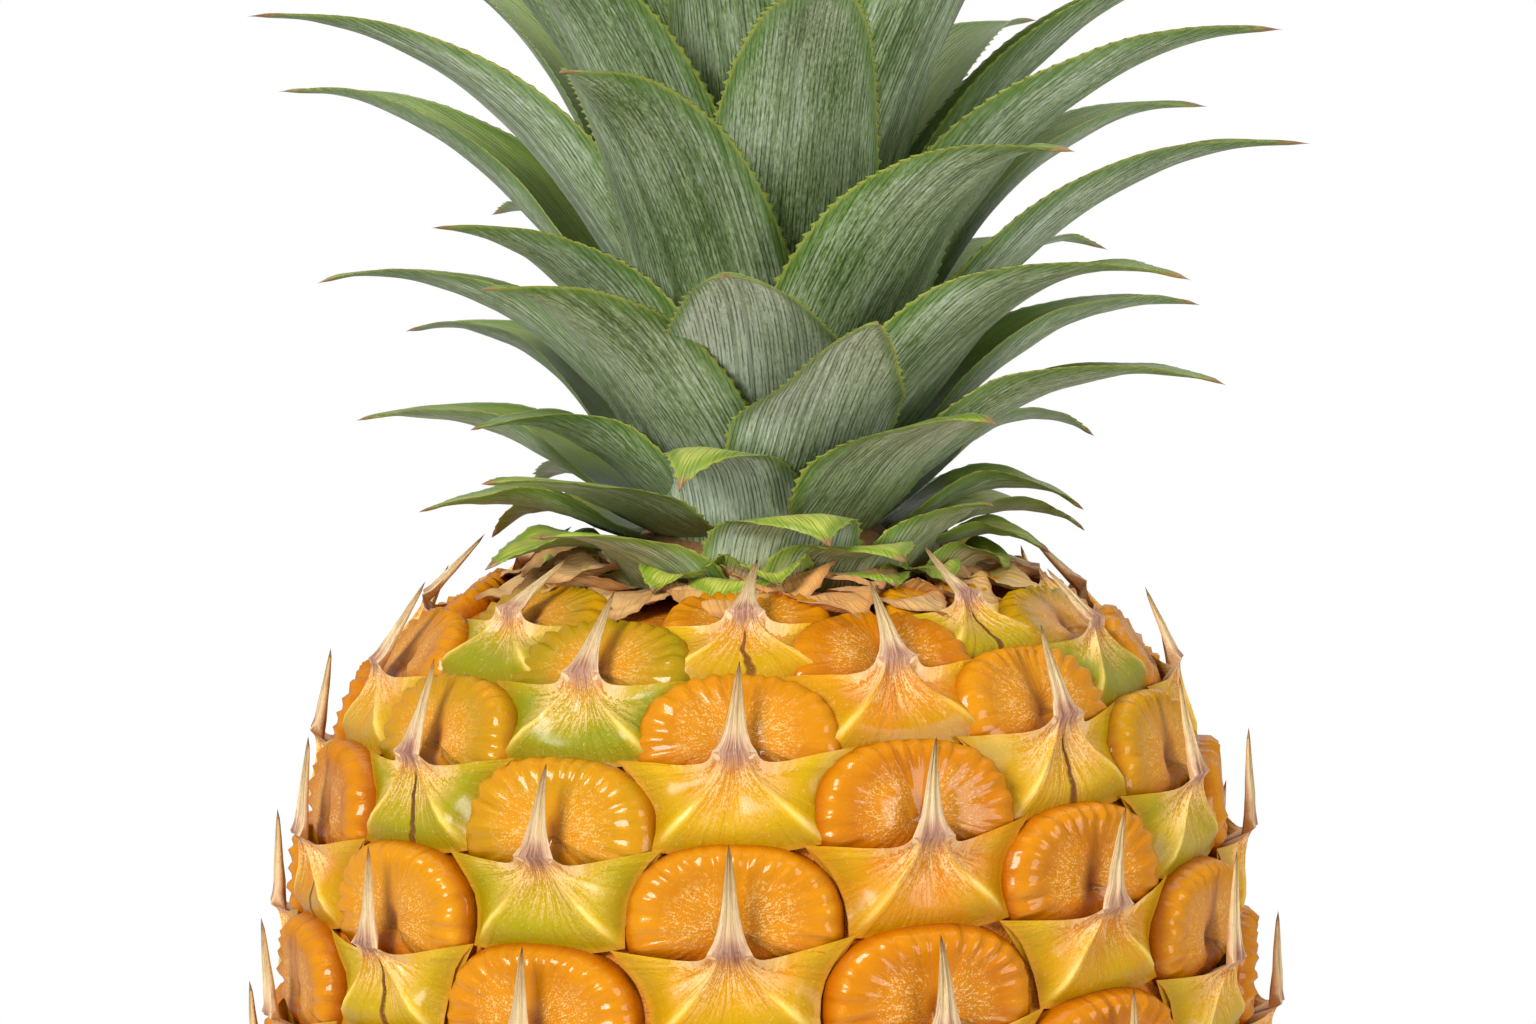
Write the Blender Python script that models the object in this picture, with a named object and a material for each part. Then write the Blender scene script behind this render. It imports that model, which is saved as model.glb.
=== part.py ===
"""A whole pineapple standing on its trimmed base: the fruit with its spiral of eyes, the cut stalk,
the collar of dry bracts and the leafy crown. Metres, +Z up, origin at the centre of the cut base.

Azimuths are measured from -Y towards +X, so that azimuth 0 faces the front.
"""

import math
import random

import bpy
import numpy as np
from mathutils import geometry

MM = 0.001
SHARP_FROM_DEGREES = 45

# ---- Fruit: (radius, height) of the rind under its eyes, from the stalk out along the flat base and up
# to the crown's seat.
RIND_PROFILE_MM = [
    (16, 0), (31, 0), (38, 3), (46, 12), (53, 28), (57, 48), (58, 68), (57, 90), (54.5, 112),
    (51.5, 130), (47.5, 141), (41, 149.5), (33, 154.5), (24, 156.5),
]
PROFILE_STEPS = 24
SEAT_RADIUS_MM = 19.0
SEAT_HEIGHT_MM = 157.0
STALK_RECESS_RADIUS_MM = 13.5
STALK_RECESS_DEPTH_MM = 7.0

# ---- Eyes: one spiral that climbs a sixteenth of a row per eye, so that eyes stand in sixteen columns.
COLUMNS = 16
UP_RIGHT = 9
UP_LEFT = COLUMNS - UP_RIGHT
DIVERGENCE = math.radians(UP_RIGHT * 360 / COLUMNS)
ROW_MM = 20.7
ROW_REFERENCE_RADIUS_MM = 55.0
ROW_GROWTH = 0.5
ANCHOR_AZIMUTH = math.radians(-3.95)
ANCHOR_HEIGHT_MM = 142.0
ANCHOR_EYE = 131
RELIEF_STARTS_MM = 2.2
RELIEF_FULL_MM = 9.0
LAST_ROW_MARGIN = 0.34

# Where a cell's right and top-right corners lie, in columns and rows from its centre. The other corners are
# these of its neighbours, in the order right, top right, top left, left, bottom left, bottom right.
RIGHT_CORNER = (0.606, 0.0625)
TOP_RIGHT_CORNER = (0.394, 0.5)
LEFT_CORNER = 3
MERGE_DISTANCE = 1e-7
TIP_RAISE_MM = 1.2
CREASE_RAISE_MM = 0.0

# Points of one eye: (columns, rows, height in mm over the rind).
BRACT_POINTS = {
    "lip_left": (-0.33, 0.0, 3.0), "lip_right": (0.33, 0.03, 3.0),
    "ridge_left": (-0.2, -0.24, 3.6), "ridge_right": (0.2, -0.24, 3.6),
    "hem_left": (-0.35, -0.42, 1.9), "hem_mid": (0.0, -0.42, 1.9), "hem_right": (0.35, -0.42, 1.9),
    "wing_left": (-0.52, -0.16, 1.6), "wing_right": (0.53, -0.12, 1.6),
}
DISC_POINTS = {
    "shelf_left": (-0.33, 0.06, 1.2), "shelf_right": (0.33, 0.09, 1.2),
    "rim_left": (-0.47, 0.2, 2.0), "rim_up_left": (-0.3, 0.4, 2.0), "rim_top": (0.0, 0.45, 2.2),
    "rim_up_right": (0.3, 0.4, 2.0), "rim_right": (0.47, 0.22, 2.0),
    "bulge_left": (-0.22, 0.2, 3.2), "bulge_top": (0.0, 0.33, 3.2), "bulge_right": (0.22, 0.21, 3.2),
    "dimple": (0.0, 0.16, 2.0),
}
SPINE_ROOT = {
    "root_left": (-0.09, 0.02, 4.0), "root_right": (0.09, 0.03, 4.0), "root_front": (0.0, -0.05, 5.0),
}
SPINE_LENGTH_ROWS = 0.52
SPINE_RISE_MM = 6.4
SPINE_LENGTH_CHANCE = (0.85, 1.1)
SPINE_RISE_CHANCE = (0.9, 1.15)
SPINE_LEAN_MM = 1.5
EYE_SEED = 11

# ---- Stalk, cut flush with the base.
STALK_RADIUS_MM = 12.6
STALK_CHAMFER_MM = 0.8
STALK_SIDES = 20
FIT_GAP_MM = 0.4

# ---- Crown leaves, in the order they grow: stage, length, width, tilt at root and tip from upright,
# height and radius of the root.
LEAF_STAGES = [
    (0, 14, 12, 77, 104, 160.9, 18.0),
    (7, 23, 15, 75, 120, 161.8, 16.2),
    (13, 27, 17.5, 66, 132, 162.5, 14.2),
    (21, 39, 19.5, 50, 118, 163.6, 12.2),
    (33, 58, 22.5, 36, 105, 167.6, 9.6),
    (47, 77, 24, 24, 91, 174.5, 7.4),
    (56, 86, 23, 16, 62, 180.0, 6.0),
    (70, 92, 17, 8, 34, 189.0, 3.6),
]
OUTER_LEAVES = 55
HEART_LEAVES = 14
LEAF_DIVERGENCE = math.radians(-137.508)
LEAF_ANCHOR = 13
LEAF_ANCHOR_AZIMUTH = math.radians(4.0)
LEAF_THICKNESS_MM = 0.8
LEAF_WIDEST_AT = 0.32
LEAF_ROOT_WIDTH = 0.62
LEAF_TAPER = 1.5
LEAF_CURL_POWER = 2.0
LEAF_TIP_THINNESS = 0.35
CHANNEL_DEPTH = 0.36
CHANNEL_STARTS = 0.15
CHANNEL_FULL = 0.65
CLASP_ANGLE = math.radians(41)
TOOTH_MM = 0.5
LEAF_STATIONS = 6
STATION_MM = 17.0
STEPS_PER_STATION = 4
# One cross-section of a blade: share of its half width, and which face, from one edge round to the other.
LEAF_SECTION = [(1, 0), (0.4, 1), (-0.4, 1), (-1, 0), (-0.4, -1), (0.4, -1)]
# Leaves that grew unlike the rule: changes in length, root tilt, tip tilt and sideways drift. The others
# vary by chance, within the limits below.
LEAF_CHANGES = {
    3: (2, 9, -8, 0),
    5: (-2, 6, -8, -5),
    7: (2, 3, -13, 0),
    8: (3, 0, -26, -4),
    10: (-5, -5, -22, -2),
    11: (1, 0, -15, 0),
    13: (-9, 3, 12, 2),
    15: (-5, -2, 8, 0),
    16: (-3, 4, -28, -3),
    18: (1, -5, -17, -2),
    19: (4, 2, -14, 1),
    21: (-13, 0, 0, 3),
    23: (6, 1, -3, 2),
    24: (-15, -1, -2, 1),
    26: (0, -2, -18, -3),
    27: (-2, 1, -4, 2),
    29: (-2, 0, -16, -1),
    31: (4, 1, 3, 2),
    32: (-4, 0, 4, 0),
    34: (-9, 2, -2, -2),
    36: (7, 1, -6, 0),
    37: (-15, 0, -9, 1),
    39: (1, 3, 2, 3),
    40: (5, 1, -3, 0),
    44: (4, 2, 1, 1),
    45: (2, -1, 3, 0),
    47: (-2, 0, 3, -3),
}
LEAF_SEED = 11
TILT_JITTER = 7.0
DRIFT_JITTER = 3.5

# ---- Collar of dry bracts between fruit and crown.
COLLAR_BRACTS = 13
COLLAR_RADIUS_MM = 17.0
COLLAR_BOTTOM_MM = SEAT_HEIGHT_MM + FIT_GAP_MM
COLLAR_THICKNESS_MM = 1.0
COLLAR_SEED = 11
BRACT_OVERLAP_MM = 2.5
BRACT_REACH_MM = (9, 12)
BRACT_HALF_MM = (3.4, 4.2)
BRACT_RISE_MM = (0.6, 1.8)
BRACT_THICKNESS_MM = 0.7
BRACT_STATIONS = ((0.0, 0.8), (0.4, 1.0), (0.75, 0.65))
BRACT_SPREAD = 0.3

# ---- Stem under the leaves, and the heart that grows out of it.
STEM_SIDES = 16
STEM_INSET_MM = 1.3
HEART_INSET_MM = 1.4
HEART_THICKNESS_MM = 1.0


def clear_scene():
    for obj in list(bpy.data.objects):
        bpy.data.objects.remove(obj)


def material(name, colour, roughness):
    made = bpy.data.materials.new(name)
    made.use_nodes = True
    surface = made.node_tree.nodes["Principled BSDF"]
    surface.inputs["Base Color"].default_value = (*colour, 1.0)
    surface.inputs["Roughness"].default_value = roughness
    return made


def add_object(name, points_mm, faces, finish, smooth_angle=None):
    mesh = bpy.data.meshes.new(name)
    mesh.from_pydata([tuple(c * MM for c in p) for p in points_mm], [], faces)
    mesh.update()
    obj = bpy.data.objects.new(name, mesh)
    bpy.context.scene.collection.objects.link(obj)
    if finish is not None:
        mesh.materials.append(finish)
    if smooth_angle is not None:
        mesh.shade_smooth()
        mesh.set_sharp_from_angle(angle=math.radians(smooth_angle))
    return obj


def around(radius, azimuth, height):
    return np.array([radius * math.sin(azimuth), -radius * math.cos(azimuth), height])


# ---------------------------------------------------------------- the rind and its rows

def smooth_curve(points, steps):
    """Points of a Catmull-Rom curve through the given ones."""
    ends = [2 * points[0] - points[1], *points, 2 * points[-1] - points[-2]]
    found = []
    for a, b, c, d in zip(ends, ends[1:], ends[2:], ends[3:]):
        for i in range(steps):
            t = i / steps
            found.append(0.5 * (2 * b + (c - a) * t + (2 * a - 5 * b + 4 * c - d) * t * t
                                + (3 * b - a - 3 * c + d) * t ** 3))
    found.append(points[-1])
    return np.array(found)


class Rind:
    """The turned surface under the eyes, read by azimuth and by row."""

    def __init__(self):
        curve = smooth_curve([np.array(p, float) for p in RIND_PROFILE_MM], PROFILE_STEPS)
        self.radius, self.height = curve[:, 0], np.maximum(curve[:, 1], 0.0)
        run = np.hypot(np.diff(self.radius), np.diff(self.height))
        middle = (self.radius[1:] + self.radius[:-1]) / 2
        row_mm = ROW_MM * (middle / ROW_REFERENCE_RADIUS_MM) ** ROW_GROWTH
        self.length = np.concatenate([[0], np.cumsum(run)])
        self.row = np.concatenate([[0], np.cumsum(run / row_mm)])
        self.out = np.gradient(self.radius, self.length)
        self.up = np.gradient(self.height, self.length)
        self.anchor_row = float(np.interp(ANCHOR_HEIGHT_MM, self.height, self.row))

    def eye_count(self):
        top = self.row[-1] - LAST_ROW_MARGIN
        return int((top - self.anchor_row) * COLUMNS) + ANCHOR_EYE

    def eye(self, n):
        """(azimuth, row) of eye n."""
        steps = n - ANCHOR_EYE
        return ANCHOR_AZIMUTH + steps * DIVERGENCE, self.anchor_row + steps / COLUMNS

    def frame(self, azimuth, row):
        """(point, direction up the rind, direction out of it)."""
        at = [float(np.interp(row, self.row, values)) for values in
              (self.radius, self.height, self.out, self.up)]
        radius, height, out, up = at
        size = math.hypot(out, up)
        point = around(radius, azimuth, height)
        upward = around(out / size, azimuth, up / size)
        outward = around(up / size, azimuth, -out / size)
        return point, upward, outward

    def scale(self, row):
        """How high an eye stands here: less where eyes are small, and nothing on the flat base."""
        radius, height = (float(np.interp(row, self.row, v)) for v in (self.radius, self.height))
        flat = smooth_step((height - RELIEF_STARTS_MM) / RELIEF_FULL_MM)
        return flat * min(1.0, (radius / ROW_REFERENCE_RADIUS_MM) ** ROW_GROWTH)

    def raised(self, azimuth, row, columns, rows, height_mm):
        """A point of an eye: columns and rows from its centre, and a height over the rind."""
        point, _, outward = self.frame(azimuth + columns * math.tau / COLUMNS, row + rows)
        return point + outward * height_mm * self.scale(row)


def eye_faces(names, corners, places):
    """Triangles of one eye, over its six corners and its named points, except the spine."""
    flat = [*corners, *[places[n][:2] for n in names]]
    index = {name: len(corners) + i for i, name in enumerate(names)}
    folds = [
        ("lip_left", "root_left"), ("root_left", "root_front"), ("root_front", "root_right"),
        ("root_right", "lip_right"), ("shelf_left", "dimple"), ("dimple", "shelf_right"),
        ("root_left", "root_right"), ("root_front", "ridge_left"), ("ridge_left", "hem_left"),
        ("root_front", "ridge_right"), ("ridge_right", "hem_right"),
    ]
    edges = [(i, (i + 1) % len(corners)) for i in range(len(corners))]
    edges += [(index[a], index[b]) for a, b in folds]
    edges += [(LEFT_CORNER, index["lip_left"]), (0, index["lip_right"])]
    _, _, faces, *_ = geometry.delaunay_2d_cdt(flat, edges, [], 1, MERGE_DISTANCE)
    root = {index[n] for n in SPINE_ROOT}
    return [tuple(f) for f in faces if set(f) != root]


def fruit_mesh(rind):
    """One closed mesh: hexagonal cells with raised eyes, the crown's seat and the flat base."""
    count = rind.eye_count()
    chance = random.Random(EYE_SEED)
    points, faces = [], []
    shared = {}

    def corner(kind, m):
        if (kind, m) not in shared:
            azimuth, row = rind.eye(m)
            columns, rows = RIGHT_CORNER if kind == "right" else TOP_RIGHT_CORNER
            height = TIP_RAISE_MM if kind == "right" else CREASE_RAISE_MM
            shared[kind, m] = len(points)
            points.append(rind.raised(azimuth, row, columns, rows, height))
        return shared[kind, m]

    places = {**BRACT_POINTS, **DISC_POINTS, **SPINE_ROOT}
    names = list(places)
    (side, level), (corner_side, edge) = RIGHT_CORNER, TOP_RIGHT_CORNER
    outline = [(side, level), (corner_side, edge), (-corner_side, edge),
               (-side, -level), (-corner_side, -edge), (corner_side, -edge)]
    cell = eye_faces(names, outline, places)
    for n in range(count):
        azimuth, row = rind.eye(n)
        ring = [corner("right", n), corner("top", n), corner("right", n + UP_LEFT),
                corner("top", n - UP_RIGHT), corner("right", n - UP_RIGHT), corner("top", n - COLUMNS)]
        numbers = list(ring)
        for name in names:
            numbers.append(len(points))
            points.append(rind.raised(azimuth, row, *places[name]))
        faces += [tuple(numbers[i] for i in face) for face in cell]
        at, upward, outward = rind.frame(azimuth, row)
        length = SPINE_LENGTH_ROWS * ROW_MM * rind.scale(row) * chance.uniform(*SPINE_LENGTH_CHANCE)
        rise = SPINE_RISE_MM * rind.scale(row) * chance.uniform(*SPINE_RISE_CHANCE)
        lean = SPINE_LEAN_MM * rind.scale(row) * chance.uniform(-1, 1)
        tip = len(points)
        points.append(at + upward * length + outward * rise + np.cross(upward, outward) * lean)
        left, right, front = (numbers[len(ring) + names.index(r)] for r in SPINE_ROOT)
        faces += [(left, front, tip), (front, right, tip), (right, left, tip)]
    close_ends(points, faces)
    return points, faces


def open_rims(faces):
    """The mesh's open edges as loops of vertices, each in its faces' order."""
    edges = {(f[i], f[(i + 1) % len(f)]) for f in faces for i in range(len(f))}
    following = {a: b for a, b in edges if (b, a) not in edges}
    loops = []
    while following:
        start = next(iter(following))
        loop = [start]
        while following[loop[-1]] != start:
            loop.append(following[loop[-1]])
        for v in loop:
            del following[v]
        loops.append(loop)
    return loops


def close_ends(points, faces):
    """Closes the open rims with the crown's seat and the trimmed base, which holds the stalk's recess."""
    for loop in open_rims(faces):
        at_top = points[loop[0]][2] > SEAT_HEIGHT_MM / 2
        rings = [(SEAT_RADIUS_MM, SEAT_HEIGHT_MM)] if at_top else [
            (STALK_RECESS_RADIUS_MM, 0.0), (STALK_RECESS_RADIUS_MM, STALK_RECESS_DEPTH_MM)]
        ring = loop
        azimuths = [math.atan2(points[v][0], -points[v][1]) for v in loop]
        for radius, height in rings:
            inner = []
            for azimuth in azimuths:
                inner.append(len(points))
                points.append(around(radius, azimuth, height))
            for i, v in enumerate(ring):
                after = (i + 1) % len(ring)
                faces.append((ring[after], v, inner[i], inner[after]))
            ring = inner
        faces.append(tuple(reversed(ring)))


# ---------------------------------------------------------------- leaves

def stage_values(stage):
    """Length, width, root tilt, tip tilt, root height and root radius of the leaf at this stage."""
    stages = [row[0] for row in LEAF_STAGES]
    return [float(np.interp(stage, stages, [row[i] for row in LEAF_STAGES])) for i in range(1, 7)]


def leaf_outline(t):
    """Share of the leaf's full width at t along it."""
    if t < LEAF_WIDEST_AT:
        return LEAF_ROOT_WIDTH + (1 - LEAF_ROOT_WIDTH) * math.sin(math.pi / 2 * t / LEAF_WIDEST_AT)
    return 1 - ((t - LEAF_WIDEST_AT) / (1 - LEAF_WIDEST_AT)) ** LEAF_TAPER


def smooth_step(t):
    t = min(1.0, max(0.0, t))
    return t * t * (3 - 2 * t)


def leaf_changes(k):
    """Changes in length, root tilt, tip tilt and drift of leaf k."""
    if k in LEAF_CHANGES:
        return LEAF_CHANGES[k]
    if k >= OUTER_LEAVES:
        return 0.0, 0.0, 0.0, 0.0
    chance = random.Random(LEAF_SEED * 1000 + k)
    return 0.0, 0.0, chance.uniform(-TILT_JITTER, TILT_JITTER), chance.uniform(-DRIFT_JITTER, DRIFT_JITTER)


def leaf_mesh(k, thickness, inset=0.0):
    """A closed arched blade: a gutter of three facets above and below, with a toothed edge."""
    length, width, root_tilt, tip_tilt, height, radius = stage_values(k)
    longer, lower, curled, drift = leaf_changes(k)
    length += longer
    root_tilt += lower
    tip_tilt += curled
    radius -= inset
    azimuth = LEAF_ANCHOR_AZIMUTH + (k - LEAF_ANCHOR) * LEAF_DIVERGENCE
    drift = math.radians(drift)
    stations = LEAF_STATIONS + int(length / STATION_MM)
    steps = stations * STEPS_PER_STATION
    points, rings = [], []
    for i in range(steps):
        t = i / steps
        tilt = math.radians(root_tilt + (tip_tilt - root_tilt) * t ** LEAF_CURL_POWER)
        station, between = divmod(i, STEPS_PER_STATION)
        if not between:
            here = azimuth + drift * t * t
            half = min(width / 2 * leaf_outline(t), CLASP_ANGLE * radius)
            tooth = TOOTH_MM if station % 2 and station < stations - 1 else 0.0
            channel = smooth_step((t - CHANNEL_STARTS) / (CHANNEL_FULL - CHANNEL_STARTS))
            body = thickness / 2 * min(1.0, LEAF_TIP_THINNESS + 2 * (1 - t))
            rings.append(list(range(len(points), len(points) + len(LEAF_SECTION))))
            for share, side in LEAF_SECTION:
                reach = share * (half + (0 if side else tooth))
                lift = CHANNEL_DEPTH * half * channel * share * share + side * body
                points.append(around(radius - math.cos(tilt) * lift, here + reach / radius,
                                     height + math.sin(tilt) * lift))
        radius += math.sin(tilt) * length / steps
        height += math.cos(tilt) * length / steps
    points.append(around(radius, azimuth + drift, height))
    return points, blade_faces(rings, len(points) - 1)


def blade_faces(rings, tip):
    """Triangles round a blade, split alike on both of its faces, with its root and its tip closed."""
    faces = []
    around_ring = len(LEAF_SECTION)
    for low, high in zip(rings, rings[1:]):
        for i, v in enumerate(low):
            after = (i + 1) % around_ring
            if i < around_ring // 2:
                faces += [(v, low[after], high[after]), (v, high[after], high[i])]
            else:
                faces += [(v, low[after], high[i]), (low[after], high[after], high[i])]
    last, root = rings[-1], rings[0]
    faces += [(v, last[(i + 1) % around_ring], tip) for i, v in enumerate(last)]
    faces += [(root[a], root[b], root[c]) for a, b, c in ((0, 5, 1), (1, 5, 4), (1, 4, 2), (2, 4, 3))]
    return faces


def join_all(name, objects, finish):
    """One body from overlapping ones, by a single Boolean union on a collection."""
    first, *others = objects
    group = bpy.data.collections.new(name + "_pieces")
    bpy.context.scene.collection.children.link(group)
    for obj in others:
        group.objects.link(obj)
        bpy.context.scene.collection.objects.unlink(obj)
    join = first.modifiers.new("join", "BOOLEAN")
    join.operation = "UNION"
    join.operand_type = "COLLECTION"
    join.collection = group
    join.solver = "MANIFOLD"
    bpy.context.view_layer.update()
    graph = bpy.context.evaluated_depsgraph_get()
    mesh = bpy.data.meshes.new_from_object(first.evaluated_get(graph))
    for obj in [*others, first]:
        bpy.data.objects.remove(obj)
    bpy.data.collections.remove(group)
    made = bpy.data.objects.new(name, mesh)
    made.data.materials.clear()
    made.data.materials.append(finish)
    bpy.context.scene.collection.objects.link(made)
    return made


# ---------------------------------------------------------------- pieces

def turned_mesh(profile, sides):
    """A closed turned solid from (radius, height) points, bottom to top, with flat ends."""
    points, faces = [], []
    for radius, height in profile:
        points += [around(radius, i * math.tau / sides, height) for i in range(sides)]
    for level in range(len(profile) - 1):
        for i in range(sides):
            a, b = level * sides + i, level * sides + (i + 1) % sides
            faces.append((a, b, b + sides, a + sides))
    faces.append(tuple(reversed(range(sides))))
    faces.append(tuple(range(len(points) - sides, len(points))))
    return points, faces


def build_fruit():
    finish = material("rind", (0.86, 0.5, 0.07), 0.42)
    points, faces = fruit_mesh(Rind())
    return add_object("fruit", points, faces, finish)


def build_stalk():
    finish = material("stalk", (0.62, 0.5, 0.32), 0.85)
    top = STALK_RECESS_DEPTH_MM - FIT_GAP_MM
    profile = [(STALK_RADIUS_MM - STALK_CHAMFER_MM, 0.0), (STALK_RADIUS_MM, STALK_CHAMFER_MM),
               (STALK_RADIUS_MM, top)]
    points, faces = turned_mesh(profile, STALK_SIDES)
    return add_object("stalk", points, faces, finish, SHARP_FROM_DEGREES)


def build_collar():
    """A thin plate on the crown's seat with the dry bracts that grew from it."""
    finish = material("dry_bracts", (0.6, 0.42, 0.24), 0.8)
    bottom, top = COLLAR_BOTTOM_MM, COLLAR_BOTTOM_MM + COLLAR_THICKNESS_MM
    plate = turned_mesh([(COLLAR_RADIUS_MM, bottom), (COLLAR_RADIUS_MM, top)], STEM_SIDES)
    objects = [add_object("collar_plate", *plate, None)]
    chance = random.Random(COLLAR_SEED)
    for i in range(COLLAR_BRACTS):
        azimuth = (i + BRACT_SPREAD * chance.uniform(-1, 1)) * math.tau / COLLAR_BRACTS
        objects.append(add_object(f"bract_{i}", *collar_bract(azimuth, chance), None))
    return join_all("dry_collar", objects, finish)


def collar_bract(azimuth, chance):
    """A small pointed scale that leaves the plate's rim and turns over the fruit's shoulder."""
    root = COLLAR_RADIUS_MM - BRACT_OVERLAP_MM
    middle = COLLAR_BOTTOM_MM + COLLAR_THICKNESS_MM / 2
    reach, half, rise = (chance.uniform(*span) for span in (BRACT_REACH_MM, BRACT_HALF_MM, BRACT_RISE_MM))
    points, rings = [], []
    for share, wide in BRACT_STATIONS:
        radius = root + reach * share
        height = middle + rise * math.sin(math.pi * share)
        rings.append(list(range(len(points), len(points) + 4)))
        for side, lift in ((-1, -1), (1, -1), (1, 1), (-1, 1)):
            points.append(around(radius, azimuth + side * half * wide / radius,
                                 height + lift * BRACT_THICKNESS_MM / 2))
    tip = len(points)
    points.append(around(root + reach, azimuth, middle))
    faces = [tuple(reversed(rings[0]))]
    for low, high in zip(rings, rings[1:]):
        faces += [(low[i], low[(i + 1) % 4], high[(i + 1) % 4], high[i]) for i in range(4)]
    faces += [(rings[-1][i], rings[-1][(i + 1) % 4], tip) for i in range(4)]
    return points, faces


def build_crown(finish):
    for k in range(OUTER_LEAVES):
        add_object(f"leaf_{k + 1:02d}", *leaf_mesh(k, LEAF_THICKNESS_MM), finish, SHARP_FROM_DEGREES)


def build_heart(finish):
    """The crown's short stem with its youngest leaves, which close over its tip."""
    bottom = COLLAR_BOTTOM_MM + COLLAR_THICKNESS_MM + FIT_GAP_MM
    profile = [(LEAF_STAGES[1][6] - STEM_INSET_MM, bottom)]
    profile += [(row[6] - STEM_INSET_MM, row[5]) for row in LEAF_STAGES[2:]]
    objects = [add_object("stem", *turned_mesh(profile, STEM_SIDES), None)]
    for k in range(OUTER_LEAVES, OUTER_LEAVES + HEART_LEAVES):
        mesh = leaf_mesh(k, HEART_THICKNESS_MM, HEART_INSET_MM)
        objects.append(add_object(f"heart_{k}", *mesh, None))
    return join_all("crown_stem", objects, finish)


def main():
    clear_scene()
    leaf_green = material("leaf", (0.17, 0.29, 0.11), 0.5)
    build_fruit()
    build_stalk()
    build_collar()
    build_crown(leaf_green)
    build_heart(leaf_green)


main()
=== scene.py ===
import math
import random

import bpy
import numpy as np
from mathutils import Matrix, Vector


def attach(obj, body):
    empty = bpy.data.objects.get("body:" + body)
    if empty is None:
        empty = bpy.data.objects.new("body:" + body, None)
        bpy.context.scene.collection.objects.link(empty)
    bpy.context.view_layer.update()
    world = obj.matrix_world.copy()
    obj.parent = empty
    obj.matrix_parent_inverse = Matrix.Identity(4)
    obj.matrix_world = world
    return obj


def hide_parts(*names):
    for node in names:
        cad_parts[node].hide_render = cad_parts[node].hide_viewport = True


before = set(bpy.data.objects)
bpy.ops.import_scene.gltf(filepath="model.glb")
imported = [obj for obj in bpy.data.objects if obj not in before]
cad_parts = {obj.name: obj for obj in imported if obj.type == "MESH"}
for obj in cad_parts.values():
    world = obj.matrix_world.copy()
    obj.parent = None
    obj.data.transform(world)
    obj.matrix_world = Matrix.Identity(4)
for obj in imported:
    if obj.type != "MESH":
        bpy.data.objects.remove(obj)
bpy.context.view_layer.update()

MM = 0.001
BODY = "root"

# ---- The rind under the eyes: (radius, height) in mm, from the stalk out along the base and up to the crown.
RIND_PROFILE_MM = [
    (16, 0), (31, 0), (38, 3), (46, 12), (53, 28), (57, 48), (58, 68), (57, 90), (54.5, 112),
    (51.5, 130), (47.5, 141), (41, 149.5), (33, 154.5), (24, 156.5),
]
PROFILE_STEPS = 24
SEAT_RADIUS_MM = 19.0
SEAT_HEIGHT_MM = 157.0
RECESS_RADIUS_MM = 13.5
RECESS_DEPTH_MM = 7.0
BED_DEPTH_MM = 0.25
BED_SIDES = 192
BED_STEPS = 110

# ---- The spiral of eyes, sixteen columns round.
COLUMNS = 16
UP_RIGHT = 9
DIVERGENCE = math.radians(UP_RIGHT * 360 / COLUMNS)
ROW_MM = 20.7
ROW_REFERENCE_RADIUS_MM = 55.0
ROW_GROWTH = 0.5
ANCHOR_AZIMUTH = math.radians(-3.95)
ANCHOR_HEIGHT_MM = 142.0
ANCHOR_EYE = 131
RELIEF_STARTS_MM = 2.2
RELIEF_FULL_MM = 9.0
LAST_ROW_MARGIN = 0.34
EYE_SEED = 11
SMALLEST_EYE = 0.02
SPINE_LENGTH_ROWS = 0.52
SPINE_RISE_MM = 6.4
SPINE_LENGTH_CHANCE = (0.85, 1.1)
SPINE_RISE_CHANCE = (0.9, 1.15)
SPINE_LEAN_MM = 1.5
RIND_LINE_POINTS = 600

# ---- The crown: stage, length, width, tilt at root and tip from upright, height and radius of the root.
LEAF_STAGES = [
    (0, 14, 12, 77, 104, 160.9, 18.0),
    (7, 23, 15, 75, 120, 161.8, 16.2),
    (13, 27, 17.5, 66, 132, 162.5, 14.2),
    (21, 39, 19.5, 50, 118, 163.6, 12.2),
    (33, 58, 22.5, 36, 105, 167.6, 9.6),
    (47, 77, 24, 24, 91, 174.5, 7.4),
    (56, 86, 23, 16, 62, 180.0, 6.0),
    (70, 92, 17, 8, 34, 189.0, 3.6),
]
OUTER_LEAVES = 55
HEART_LEAVES = 14
LEAF_DIVERGENCE = math.radians(-137.508)
LEAF_ANCHOR = 13
LEAF_ANCHOR_AZIMUTH = math.radians(4.0)
LEAF_THICKNESS_MM = 0.8
HEART_THICKNESS_MM = 1.0
HEART_INSET_MM = 1.4
LEAF_WIDEST_AT = 0.32
LEAF_ROOT_WIDTH = 0.62
LEAF_TAPER = 1.5
CHANNEL_DEPTH = 0.36
CHANNEL_STARTS = 0.15
CHANNEL_FULL = 0.65
CLASP_ANGLE = math.radians(41)
# Shares of a leaf's length where its point narrows and its fold sets in, and tilts in radians over which a
# curled leaf's gutter flattens.
POINT_RANGE = (0.8, 0.985)
POINT_NARROWS = 0.35
FOLD_RANGE = (0.28, 0.64)
CURL_TILTS = (1.6, 2.1)
CURL_FLATTENS = 0.6
LEAF_STATIONS = 6
STATION_MM = 17.0
STEPS_PER_STATION = 4
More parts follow.
